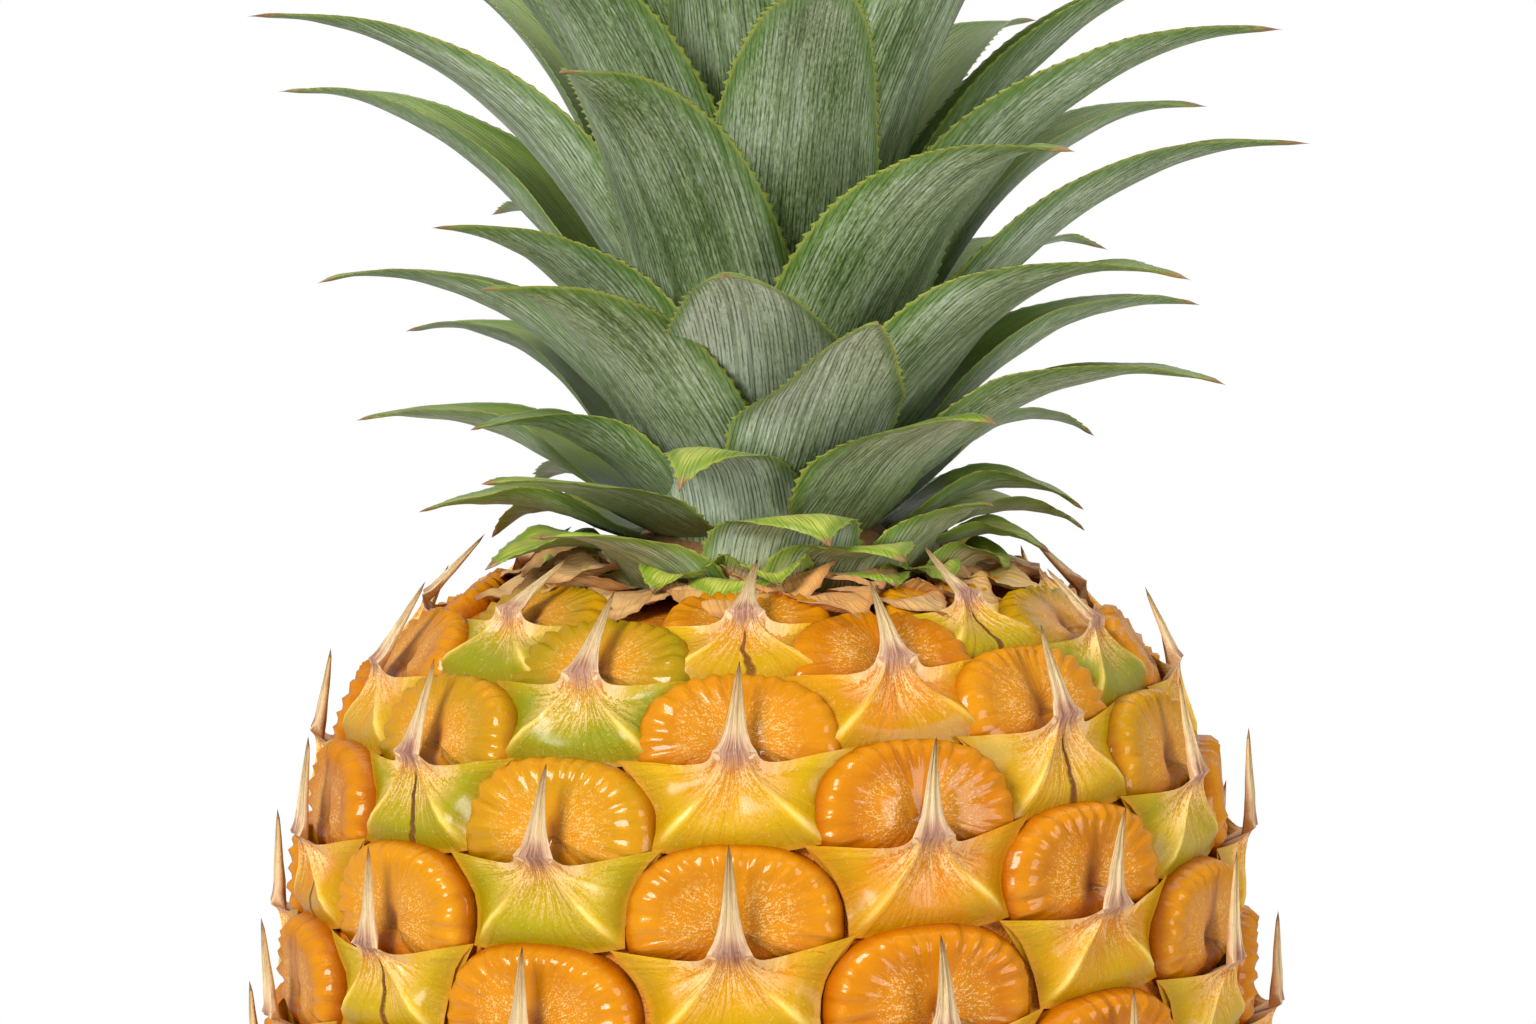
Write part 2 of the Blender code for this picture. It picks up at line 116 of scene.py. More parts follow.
# What sets single leaves apart: mm of length, then degrees of tilt at the root, curl at the tip and drift.
LEAF_CHANGES = {
    3: (2, 9, -8, 0), 7: (2, 3, -13, 0),
    11: (1, 0, -15, 0), 15: (-5, -2, 8, 0), 16: (-3, 4, -28, -3), 18: (1, -10, -17, -2),
    19: (4, 2, -14, 1), 23: (6, 1, -3, 2), 24: (-15, -1, -2, 1), 26: (0, -2, -18, -3),
    27: (-2, 1, -4, 2), 29: (-2, 0, -16, -1), 31: (4, 1, 3, 2), 32: (-4, 0, 4, 0), 34: (-9, 2, -2, -2),
    36: (7, 1, -6, 0), 37: (-15, 0, -9, 1), 39: (1, 3, 2, 3), 40: (5, 1, -3, 0), 44: (4, 2, 1, 1),
    45: (2, -1, 3, 0), 47: (-2, 0, 3, -3),
}
# How far a leaf's tip folds over, and how early some leaves begin to narrow.
LEAF_FOLDS = {16: 0.8, 18: 1.0, 26: 2.0, 34: 1.6}
NARROW_TIPS = {26: 1.0}
# Leaves whose outer face is paler: partly the pale bloom they have kept, partly painted light that lifts the
# low leaves out of the crown's shade.
BLOOM_AND_PAINTED_LIGHT_LEAVES = {0: 0.9, 5: 0.8, 8: 0.8, 10: 0.6, 13: 1.0, 16: 0.4, 18: 0.4, 21: 0.9, 26: 0.8, 34: 0.9}
# Short front leaves that stand up and fold their tips over: length, width, tilt at root and tip, height and
# radius of the root, drift, fold, taper.
FOLDED_LEAVES = {
    0: (11, 14, 48, 165, 156.0, 19.5, -4, 0.8, 1.3),
    5: (15, 19, 35, 140, 156.5, 18.5, 6, 0.6, 1.3),
    8: (21, 15, 45, 105, 155.5, 19.5, -16, 0.6, 1.3),
    10: (17, 16, 35, 100, 158.0, 18.0, -2, 0.6, 1.2),
    13: (19.5, 19, 10, 172, 156.0, 19.0, 9, 0.8, 1.5),
    21: (27, 19, 12, 172, 159.5, 13.5, -3, 0.8, 1.15),
}
# Leaves below this one are yellower, the more so the lower they grow.
LOW_LEAVES = 26
# The lowest leaves' change of tilt at the root and at the tip, in degrees.
LOWEST_LEAVES = 9
LOWEST_RISE = -6.0
LOWEST_DROOP = 24.0
LEAF_SEED = 11
TILT_JITTER = 7.0
DRIFT_JITTER = 3.5
TOOTH_SPACING_MM = 1.5
TOOTH_MM = 0.56
SAMPLES_PER_TOOTH = 3
LEAF_LOOP = 30
LEAF_WAVE_MM = 0.5
LEAF_LINE_SPACING = 0.00045
SEAM_GAP = 0.000002
STEM_SIDES = 48
STEM_FOOT_MM = 158.8
STEM_INSET_MM = -0.6
STEM_TIP_MM = 2.0

# ---- The dry collar under the crown.
# Tiers from the inside out: count, root radius and height, ranges of length, width, tilt at root and tip.
COLLAR_TIERS = [
    (13, 16.5, 158.6, (12, 15), (13, 16), (76, 86), (110, 140)),
    (17, 21.0, 157.6, (12, 15), (11, 15), (84, 93), (108, 126)),
]
# The lowest green scales, which hang over the shoulder.
HANGING_TIER = (14, 20.5, 155.8, (9, 11), (12, 15), (25, 40), (150, 178))
HANGING_START = math.radians(-27)
COLLAR_SEED = 5
SCALE_THICKNESS_MM = 0.4
SCALE_STEPS = 28
SCALE_TEETH = 10
SCALE_TOOTH_MM = 0.4
SCALE_WAVE_MM = 1.3
SCALE_FOLDS = (-0.6, 1.2)
SCALE_DRIFTS = (-8, 8)
SCALE_SCATTER = 0.2
SCALE_STAGGER_MM = 0.3
FIRST_SCALE_SEED = 100
COLLAR_RADIUS_MM = 17.0
COLLAR_BOTTOM_MM = 157.4
COLLAR_TOP_MM = 158.4

# ---- The cut stub of the stalk, in mm: its face's profile, its radius, and the heights of its rim and top.
STALK_FACE_MM = [(0, 0.25), (4, 0.2), (8, 0.12), (11.2, 0.0), (12.2, 0.35)]
STALK_RADIUS_MM = 12.6
STALK_RIM_MM = 1.1
STALK_TOP_MM = 6.6


# ---- node trees

class Wire:
    """One socket of a node tree. Sums, products and powers of wires add their own Math nodes."""

    def __init__(self, maker, socket):
        self.maker = maker
        self.socket = socket

    def maths(self, operation, *values):
        return self.maker.node("ShaderNodeMath", {"operation": operation}, dict(enumerate(values)))[0]

    def __rsub__(self, other):
        return self.maths("SUBTRACT", other, self)

    def __neg__(self):
        return self.maths("MULTIPLY", self, -1.0)


WIRE_MATHS = {
    "__add__": "ADD", "__radd__": "ADD", "__sub__": "SUBTRACT", "__mul__": "MULTIPLY", "__rmul__": "MULTIPLY",
    "__truediv__": "DIVIDE", "__pow__": "POWER", "__abs__": "ABSOLUTE", "sine": "SINE", "cosine": "COSINE",
    "root": "SQRT", "floor": "FLOOR", "fraction": "FRACT", "least": "MINIMUM",
}


def wire_method(operation):
    """A method of Wire that puts the wire, and then what it is given, through one operation."""
    return lambda wire, *others: wire.maths(operation, wire, *others)


for method_name, maths_operation in WIRE_MATHS.items():
    setattr(Wire, method_name, wire_method(maths_operation))


class Outputs:
    """The outputs of one node, by name or number."""

    def __init__(self, maker, made):
        self.maker = maker
        self.made = made

    def __getitem__(self, key):
        return Wire(self.maker, self.made.outputs[key])


class Maker:
    """Adds nodes to one tree."""

    def __init__(self, tree):
        self.tree = tree

    def node(self, kind, settings=None, sockets=None):
        """A node of this type, with its settings, then its sockets' values or links."""
        made = self.tree.nodes.new(kind)
        for name, value in (settings or {}).items():
            if name == "stops":
                self.set_stops(made.color_ramp, value)
            else:
                setattr(made, name, value)
        for key, value in (sockets or {}).items():
            if isinstance(value, Wire):
                self.tree.links.new(value.socket, made.inputs[key])
            else:
                made.inputs[key].default_value = value
        return Outputs(self, made)

    def set_stops(self, ramp, stops):
        while len(ramp.elements) < len(stops):
            ramp.elements.new(0.5)
        for element, (place, colour) in zip(ramp.elements, stops):
            element.position = place
            element.color = (*colour, 1.0)

    def vector(self, x=0.0, y=0.0, z=0.0):
        return self.node("ShaderNodeCombineXYZ", None, {0: x, 1: y, 2: z})[0]

    def parts(self, vector):
        found = self.node("ShaderNodeSeparateXYZ", None, {0: vector})
        return found[0], found[1], found[2]

    def clamp(self, value, low=0.0, high=1.0):
        return self.node("ShaderNodeClamp", None, {0: value, 1: low, 2: high})[0]

    def step(self, value, low, high):
        """0 below low, 1 above high and a smooth rise between. High may lie below low."""
        return self.node("ShaderNodeMapRange", {"interpolation_type": "SMOOTHSTEP"},
                         {0: value, 1: low, 2: high, 3: 0.0, 4: 1.0})[0]

    def mix(self, share, a, b):
        """Colour a where share is 0, and b where it is 1."""
        a, b = ((*c, 1.0) if isinstance(c, tuple) else c for c in (a, b))
        return self.node("ShaderNodeMix", {"data_type": "RGBA"}, {0: share, 6: a, 7: b})[2]

    def between(self, share, a, b):
        """Value a where share is 0, and b where it is 1."""
        return self.node("ShaderNodeMix", {"data_type": "FLOAT"}, {0: share, 2: a, 3: b})[0]

    def noise(self, vector, scale, detail=2.0, roughness=0.5):
        return self.node("ShaderNodeTexNoise", None, {
            "Vector": vector, "Scale": scale, "Detail": detail, "Roughness": roughness})[0]

    def noise_of(self, x, y, z, detail=2.0, roughness=0.5):
        """Noise over three numbers, which stand for a place."""
        return self.noise(self.vector(x, y, z), 1.0, detail, roughness)

    def ramp(self, share, stops):
        return self.node("ShaderNodeValToRGB", {"stops": stops}, {0: share})[0]


def srgb(red, green, blue):
    """A colour from its display values, 0 to 255."""
    values = (red / 255, green / 255, blue / 255)
    return tuple(c / 12.92 if c < 0.0404 else ((c + 0.055) / 1.055) ** 2.4 for c in values)


class Finish(Maker):
    """A material under construction."""

    def __init__(self, name):
        self.material = bpy.data.materials.new(name)
        self.material.use_nodes = True
        self.material.node_tree.nodes.clear()
        self.colour = None
        super().__init__(self.material.node_tree)

    def numbers(self, *names):
        """The numbers that a piece's points carry under these names."""
        return [self.node("ShaderNodeAttribute", {"attribute_name": name})["Fac"] for name in names]

    def place(self):
        return self.node("ShaderNodeTexCoord")["Object"]

    def in_mm(self):
        return self.node("ShaderNodeVectorMath", {"operation": "DIVIDE"}, {
            0: self.place(), 1: (MM, MM, MM)})[0]

    def grain(self, scale, detail=2.0, roughness=0.5):
        """Noise through the piece, at this many grains a millimetre."""
        return self.noise(self.in_mm(), scale, detail, roughness)

    def facing(self):
        """0 where the surface is seen square on, rising to 1 at its outline."""
        return self.node("ShaderNodeLayerWeight", None, {"Blend": 0.35})["Facing"]

    def paint(self, share, red, green, blue):
        """Lays a colour, in display values, over what is there."""
        self.colour = self.mix(share, self.colour, srgb(red, green, blue))

    def close(self, roughness, height, bump_mm, coat=0.0, coat_roughness=0.2, sheen=0.0, specular=0.5,
              tint=(1.0, 1.0, 1.0), alpha=1.0):
        """Joins the painted surface and its relief to the output."""
        relief = self.node("ShaderNodeBump", None, {
            "Height": height, "Distance": bump_mm * MM})[0]
        surface = self.node("ShaderNodeBsdfPrincipled", None, {
            "Base Color": self.colour, "Roughness": roughness, "Normal": relief, "Coat Weight": coat,
            "Coat Roughness": coat_roughness, "Sheen Weight": sheen, "Specular IOR Level": specular,
            "Specular Tint": (*tint, 1.0), "Alpha": alpha})[0]
        self.node("ShaderNodeOutputMaterial", None, {0: surface})
        return self.material


class Builder(Maker):
    """A geometry tree under construction. Its inputs are sizes with plain names."""

    def __init__(self, name, sizes):
        tree = bpy.data.node_groups.new(name, "GeometryNodeTree")
        super().__init__(tree)
        tree.interface.new_socket("Geometry", in_out="INPUT", socket_type="NodeSocketGeometry")
        tree.interface.new_socket("Geometry", in_out="OUTPUT", socket_type="NodeSocketGeometry")
        self.identifiers = {}
        for label, value in sizes.items():
            kind = {float: "Float", int: "Int", str: value}[type(value)]
            socket = tree.interface.new_socket(label, in_out="INPUT", socket_type=f"NodeSocket{kind}")
            if not isinstance(value, str):
                socket.default_value = value
            self.identifiers[label] = socket.identifier
        self.inputs = self.node("NodeGroupInput")

    def __getitem__(self, label):
        return self.inputs[label]

    def named(self, name):
        return self.node("GeometryNodeInputNamedAttribute", {"data_type": "FLOAT"}, {"Name": name})[0]

    def store(self, geometry, name, value):
        return self.node("GeometryNodeStoreNamedAttribute", {"data_type": "FLOAT", "domain": "POINT"}, {
            "Geometry": geometry, "Name": name, "Value": value})[0]

    def sampled(self, kind, geometry, value, index):
        """The value at the point with this number."""
        return self.node("GeometryNodeSampleIndex", {"data_type": kind, "domain": "POINT", "clamp": True}, {
            "Geometry": geometry, "Value": value, "Index": index})[0]

    def passed(self, kind, geometry, **sockets):
        """The geometry after one node of this kind."""
        return self.node(f"GeometryNode{kind}", None, {0: geometry, **sockets})[0]

    def finish(self, geometry):
        """Ends the tree with a plain mesh in its material."""
        geometry = self.passed("RealizeInstances", geometry)
        geometry = self.passed("SetMaterial", geometry, Material=self["Material"])
        self.node("NodeGroupOutput", None, {"Geometry": geometry})
        return self

    def run(self, name, points, **sizes):
        """A plain mesh from this tree, run on an object with its inputs set by their labels."""
        modifier = points.modifiers.new("shape", "NODES")
        modifier.node_group = self.tree
        for label, value in sizes.items():
            modifier[self.identifiers[label.replace("_", " ")]] = value
        bpy.context.view_layer.update()
        graph = bpy.context.evaluated_depsgraph_get()
        mesh = bpy.data.meshes.new_from_object(points.evaluated_get(graph))
        points.modifiers.remove(modifier)
        mesh.name = name
        mesh.materials.clear()
        mesh.materials.append(sizes["Material"])
        mesh.polygons.foreach_set("material_index", np.zeros(len(mesh.polygons), np.int32))
        return mesh


# ---- plain mesh helpers

def link(name, data):
    """An object in the scene that shows this mesh, light or camera."""
    obj = bpy.data.objects.new(name, data)
    bpy.context.scene.collection.objects.link(obj)
    return obj


def mesh_of(name, points, faces, **numbers):
    """A mesh from points in metres, with a number for each point under each given name."""
    mesh = bpy.data.meshes.new(name)
    mesh.from_pydata([tuple(p) for p in points], [], faces)
    for label, values in numbers.items():
        layer = mesh.attributes.new(label, "FLOAT", "POINT")
        layer.data.foreach_set("value", np.asarray(values, np.float32))
    mesh.update()
    return mesh


def drop(*objects):
    """Removes objects that only fed a tree."""
    for obj in objects:
        bpy.data.objects.remove(obj)


def piece(name, mesh, slot, *nodes):
    """A finished piece on the body, in place of these solids."""
    obj = link(name, mesh)
    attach(obj, BODY)
    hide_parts(*nodes)
    return obj


def joined(name, meshes):
    """One mesh from several that carry the same numbers."""
    objects = [link(f"{name}_{i}", mesh) for i, mesh in enumerate(meshes)]
    with bpy.context.temp_override(active_object=objects[0], selected_editable_objects=objects,
                                   selected_objects=objects, object=objects[0]):
        bpy.ops.object.join()
    mesh = objects[0].data.copy()
    mesh.name = name
    bpy.data.objects.remove(objects[0])
    return mesh


def smooth_step(t):
    """0 below 0, 1 above 1 and a smooth rise between."""
    t = min(1.0, max(0.0, float(t)))
    return t * t * (3 - 2 * t)


def around(radius, azimuth, height):
    """A point of a turned surface. Azimuth 0 faces the front, and grows towards +X."""
    return np.array([radius * math.sin(azimuth), -radius * math.cos(azimuth), height])


# ---- the rind's rows

def smooth_curve(points, steps):
    """A smooth curve through these points, in this many steps from each to the next."""
    ends = [2 * points[0] - points[1], *points, 2 * points[-1] - points[-2]]
    found = []
    for a, b, c, d in zip(ends, ends[1:], ends[2:], ends[3:]):
        for i in range(steps):
            t = i / steps
            found.append(0.5 * (2 * b + (c - a) * t + (2 * a - 5 * b + 4 * c - d) * t * t
                                + (3 * b - a - 3 * c + d) * t ** 3))
    found.append(points[-1])
    return np.array(found)


class Rind:
    """The turned surface under the eyes, read by row. Lengths are in mm."""

    def __init__(self):
        curve = smooth_curve([np.array(p, float) for p in RIND_PROFILE_MM], PROFILE_STEPS)
        self.radius, self.height = curve[:, 0], np.maximum(curve[:, 1], 0.0)
        run = np.hypot(np.diff(self.radius), np.diff(self.height))
        middle = (self.radius[1:] + self.radius[:-1]) / 2
        row_mm = ROW_MM * (middle / ROW_REFERENCE_RADIUS_MM) ** ROW_GROWTH
        self.row = np.concatenate([[0], np.cumsum(run / row_mm)])
        self.anchor_row = float(np.interp(ANCHOR_HEIGHT_MM, self.height, self.row))

    def eye_count(self):
        """How many eyes the spiral holds below the seat."""
        return int((self.row[-1] - LAST_ROW_MARGIN - self.anchor_row) * COLUMNS) + ANCHOR_EYE

    def eye(self, n):
        """(azimuth, row) of eye n."""
        steps = n - ANCHOR_EYE
        return ANCHOR_AZIMUTH + steps * DIVERGENCE, self.anchor_row + steps / COLUMNS

    def at(self, row):
        """(radius, height) at a row."""
        return float(np.interp(row, self.row, self.radius)), float(np.interp(row, self.row, self.height))

    def scale(self, row):
        """The size of an eye's relief at a row: none at the trimmed foot, less where the rind is slim."""
        radius, height = self.at(row)
        flat = smooth_step((height - RELIEF_STARTS_MM) / RELIEF_FULL_MM)
        return flat * min(1.0, (radius / ROW_REFERENCE_RADIUS_MM) ** ROW_GROWTH)

    def line(self):
        """(radius, 0, height) in metres at even steps of row, from the stalk to the seat."""
        rows = np.linspace(0, self.row[-1], RIND_LINE_POINTS)
        radius, height = np.interp(rows, self.row, self.radius), np.interp(rows, self.row, self.height)
        return np.stack([radius, 0 * radius, height], 1) * MM


def eye_places(rind):
    """One point for each eye, with its azimuth, row, size and what chance gives it."""
    chance = random.Random(EYE_SEED)
    look = random.Random(EYE_SEED + 1)
    numbers = {}
    for n in range(rind.eye_count()):
        azimuth, row = rind.eye(n)
        _, height = rind.at(row)
        found = {
            "azimuth": azimuth, "row": row, "size": rind.scale(row),
            "longer": (chance.uniform(*SPINE_LENGTH_CHANCE) - 1) * SPINE_LENGTH_ROWS,
            "risen": (chance.uniform(*SPINE_RISE_CHANCE) - 1) * SPINE_RISE_MM,
            "lean": chance.uniform(-1, 1) * SPINE_LEAN_MM, "green": eye_green(azimuth, height, look),
            "seam": look.random(), "tint": look.random(),
        }
        if found["size"] < SMALLEST_EYE:
            continue
        for key, value in found.items():
            numbers.setdefault(key, []).append(value)
    count = len(numbers["row"])
    return link("eye_places", mesh_of("eye_places", np.zeros((count, 3)), [], **numbers))


# Where the rind is greener: azimuth and spread in degrees and how green, then between two heights in mm.
GREEN_SIDES = [(-38, 26, 1.0), (62, 24, 0.7)]
GREEN_BACK = (165, 40, 0.6)
GREEN_TOP_MM = (108, 146)
GREEN_FOOT_MM = (34, 6)


def eye_green(azimuth, height, look):
    """How green an eye still is: most on one side of the shoulder, least in the middle of the front."""
    turn = (math.degrees(azimuth) + 180) % 360 - 180
    stretches = [(turn, *side) for side in GREEN_SIDES] + [(abs(turn), *GREEN_BACK)]
    side = sum(share * math.exp(-((at - middle) / spread) ** 2) for at, middle, spread, share in stretches)
    top, foot = (smooth_step((height - low) / (high - low)) for low, high in (GREEN_TOP_MM, GREEN_FOOT_MM))
    return min(1.0, (0.16 + 0.84 * top) * side + 0.35 * foot + look.uniform(-0.08, 0.12))


# ---- one eye, flat in its cell

def bezier(a, b, c, d, t):
    """The cubic curve from a to d, drawn towards b and c."""
    return a * (1 - t) ** 3 + 3 * b * t * (1 - t) ** 2 + 3 * c * t * t * (1 - t) + d * t ** 3


def bend(a, b, c, t):
    """The simpler curve from a to c, drawn towards b."""
    return a * (1 - t) ** 2 + 2 * b * t * (1 - t) + c * t * t


FAN = 12
SPINE_ROWS = 8
FAN_SHARES = (0.0, 0.06, 0.13, 0.22, 0.33, 0.45, 0.57, 0.69, 0.8, 0.88, 0.95, 1.0)
LEFT_TIP, RIGHT_TIP = np.array([-0.605, -0.02]), np.array([0.605, 0.075])
LEFT_CORNER, RIGHT_CORNER = np.array([-0.395, -0.5]), np.array([0.43, -0.445])
LEFT_WAIST, RIGHT_WAIST = np.array([-0.375, -0.2]), np.array([0.385, -0.13])
HEM_MIDDLE = np.array([0.02, -0.545])
SPINE_BASE = -0.02
NECK_MM = 4.7
UNDER_MM = -0.7


class Skin:
    """A closed skin in the making: loops of points with their numbers, then one point to close each end."""

    def __init__(self, *labels):
        self.labels = labels
        self.points, self.values, self.rings = [], [], []

    def start_ring(self):
        self.rings.append(len(self.points))

    def add(self, x, y, height, *values):
        self.points.append((x, y, height))
        self.values.append(values)

    def mesh(self, name):
        rings, loop = self.rings, self.rings[1] - self.rings[0]
        faces = []
        for low, high in zip(rings, rings[1:]):
            for i in range(loop):
                after = (i + 1) % loop
                faces.append((low + i, high + i, high + after, low + after))
        first = rings[-1] + loop
        faces += [(first, rings[0] + i, rings[0] + (i + 1) % loop) for i in range(loop)]
        faces += [(first + 1, rings[-1] + (i + 1) % loop, rings[-1] + i) for i in range(loop)]
        return mesh_of(name, self.points, faces, **dict(zip(self.labels, zip(*self.values))))


def bract_edge(u):
    """The outline of the bract at fan line u, from the left tip at -1 round the hem to the right tip at 1."""
    if u < -0.5:
        return bend(LEFT_TIP, LEFT_WAIST, LEFT_CORNER, (u + 1) * 2)
    if u > 0.5:
        return bend(RIGHT_CORNER, RIGHT_WAIST, RIGHT_TIP, (u - 0.5) * 2)
    return bend(LEFT_CORNER, HEM_MIDDLE, RIGHT_CORNER, u + 0.5)


def bract_height(u, s):
    """Height in mm over the rind. Ridges run from the neck to the tips and corners, and the hem rolls in."""
    a = abs(u)
    edge = float(np.interp(a, [0, 0.5, 0.75, 1.0], [2.3, 2.75, 1.9, 2.2]))
    ridge = edge + (NECK_MM - edge) * (1 - s) ** 2.1
    if a > 0.5:
        dip = 0.8 * math.sin(math.pi * ((a - 0.5) / 0.5) ** 0.8)
    else:
        dip = 1.15 * (1 - (2 * a) ** 2)
    lip = 0.12 * a ** 14 * math.sin(math.pi * min(1.0, s * 1.1))
    roll = smooth_step((s - 0.82) / 0.18) * 1.8 * (1 - smooth_step((a - 0.6) / 0.3) * 0.65)
    return ridge - dip * math.sin(math.pi * s ** 0.8) + lip - roll


def bract_template():
    """A bract with its spine as one closed skin: loops across it, from the spine's point to the outline."""
    fan = [i / FAN for i in range(-FAN, FAN + 1)]
    under = [(0.6, 1.0), (0.0, 0.0), (-0.6, -1.0)]
    skin = Skin("fan", "down", "stand", "climb")
    # The spine, thin at its point, with grooves that deepen towards the neck.
    for i in range(SPINE_ROWS):
        t = (i + 1) / (SPINE_ROWS + 1)
        climb = 1 - t
        half = 0.006 + 0.064 * t + 0.045 * t ** 7
        y = SPINE_BASE + climb * (SPINE_LENGTH_ROWS - SPINE_BASE)
        height = NECK_MM - 0.15 + (SPINE_RISE_MM - NECK_MM + 0.15) * climb
        skin.start_ring()
        for u in fan:
            groove = 0.3 * math.cos(u * 3 * math.pi) * t ** 0.5 * (1 - abs(u))
            crown = (0.75 * math.sqrt(max(0.0, 1 - u * u)) - 0.35) * t
            wave = (0.6 + 0.4 * math.sin(11 * t + (2 if u > 0 else 0))) * t ** 4 * abs(u) ** 3
            skin.add(half * u, y, height + crown + groove + wave, u, -climb, 1.0, climb)
        for u, side in under:
            skin.add(half * u, y, height - 0.8 * t ** 0.7 - 0.1, side, -climb, 1.0, climb)
    # The fleshy body, from the neck out to the outline.
    for s in FAN_SHARES:
        stand = 1 - smooth_step(s / 0.22)
        skin.start_ring()
        for u in fan:
            edge = bract_edge(u)
            line = bezier(np.array([0.115 * u, SPINE_BASE]), np.array([0.075 * u + 0.05 * u ** 3, -0.075]),
                          np.array([0.36 * edge[0], 0.36 * edge[1] - 0.05]), edge, s)
            flare = 0.6 * abs(u) ** 4 * (1 - s) ** 9
            groove = 0.3 * math.cos(u * 3 * math.pi) * (1 - abs(u)) * (1 - s) ** 5
            crown = (0.75 * math.sqrt(max(0.0, 1 - u * u)) - 0.35) * (1 - s) ** 5
            skin.add(line[0], line[1], bract_height(u, s) + flare + groove + crown, u, s, stand, 0.0)
        for u, side in under:
            edge = bract_edge(u * 0.9)
            sunk = min(1.0, s / 0.1)
            x = 0.05 * u + (edge[0] * 0.8 - 0.05 * u) * s
            y = SPINE_BASE - 0.04 + (edge[1] * 0.9 - SPINE_BASE + 0.04) * s
            skin.add(x, y, 3.4 + (UNDER_MM - 3.4) * sunk, side, s, stand, 0.0)
    skin.add(0.0, SPINE_LENGTH_ROWS, SPINE_RISE_MM, 0.0, -1.0, 1.0, 1.0)
    skin.add(0.0, -0.3, UNDER_MM, 0.0, 1.0, 0.0, 0.0)
    return skin.mesh("bract_shape")


DISC_CENTRE = (0.0, 0.12)
DISC_ARC_STEPS = 64
DISC_BACK_STEPS = 8
DISC_ARC = math.radians(228)
DISC_RINGS = (0.2, 0.42, 0.62, 0.78, 0.88, 0.95)


def disc_reach(angle):
    """How far the disc reaches from its middle at an angle, in cells."""
    x, y = math.cos(angle), math.sin(angle)
    across, up, power = (0.56, 0.445, 2.5) if y > 0 else (0.56, 0.24, 3.6)
    return ((abs(x) / across) ** power + (abs(y) / up) ** power) ** (-1 / power)


def disc_template():
    """The glossy upper half of an eye: a low shell with a fuller rim and a dimple."""
    start = math.pi / 2 - DISC_ARC / 2
    angles = [start + DISC_ARC * i / DISC_ARC_STEPS for i in range(DISC_ARC_STEPS)]
    angles += [start + DISC_ARC + (math.tau - DISC_ARC) * i / DISC_BACK_STEPS for i in range(DISC_BACK_STEPS)]
    skin = Skin("turn", "rim", "side")

    def ring(share, height_of, rim):
        skin.start_ring()
        for angle in angles:
            reach = disc_reach(angle) * share
            x = DISC_CENTRE[0] + reach * math.cos(angle)
            y = DISC_CENTRE[1] + reach * math.sin(angle)
            skin.add(x, y, height_of(x, y, share), angle, rim, x)

    def shell(x, y, share):
        plateau = 1.9 + 0.75 * smooth_step((y + 0.02) / 0.42)
        bulge = 0.6 * math.exp(-((share - 0.76) / 0.17) ** 2) * smooth_step((y - 0.02) / 0.14)
        dimple = 1.1 * math.exp(-(x / 0.07) ** 2 - ((y - 0.1) / 0.1) ** 2)
        fall = max(0.0, (share - 0.8) / 0.2)
        dive = smooth_step((y + 0.13) / 0.15)
        return (plateau + bulge - dimple) * (1 - 0.85 * fall ** 2.0) * dive

    for share in DISC_RINGS:
        ring(share, shell, share)
    ring(1.0, lambda x, y, share: 0.1, 1.0)
    ring(0.96, lambda x, y, share: UNDER_MM, 1.0)
    skin.add(*DISC_CENTRE, shell(*DISC_CENTRE, 0.0), 0.0, 0.0, DISC_CENTRE[0])
    skin.add(*DISC_CENTRE, UNDER_MM, 0.0, 1.0, DISC_CENTRE[0])
    return skin.mesh("disc_shape")


# ---- eyes laid on the rind

# Eyes grow wider in their columns where the rind is slimmer than this radius, in metres.
FULL_WIDTH_RADIUS = 0.054
WIDENING_POWER = 0.85
WIDENING_LIMITS = (0.985, 1.4)
DISC_CRIMPS = 27.0
DISC_CRIMP_MM = 0.36
DISC_UNEVENNESS_MM = 0.4
BRACT_UNEVENNESS_MM = 0.3


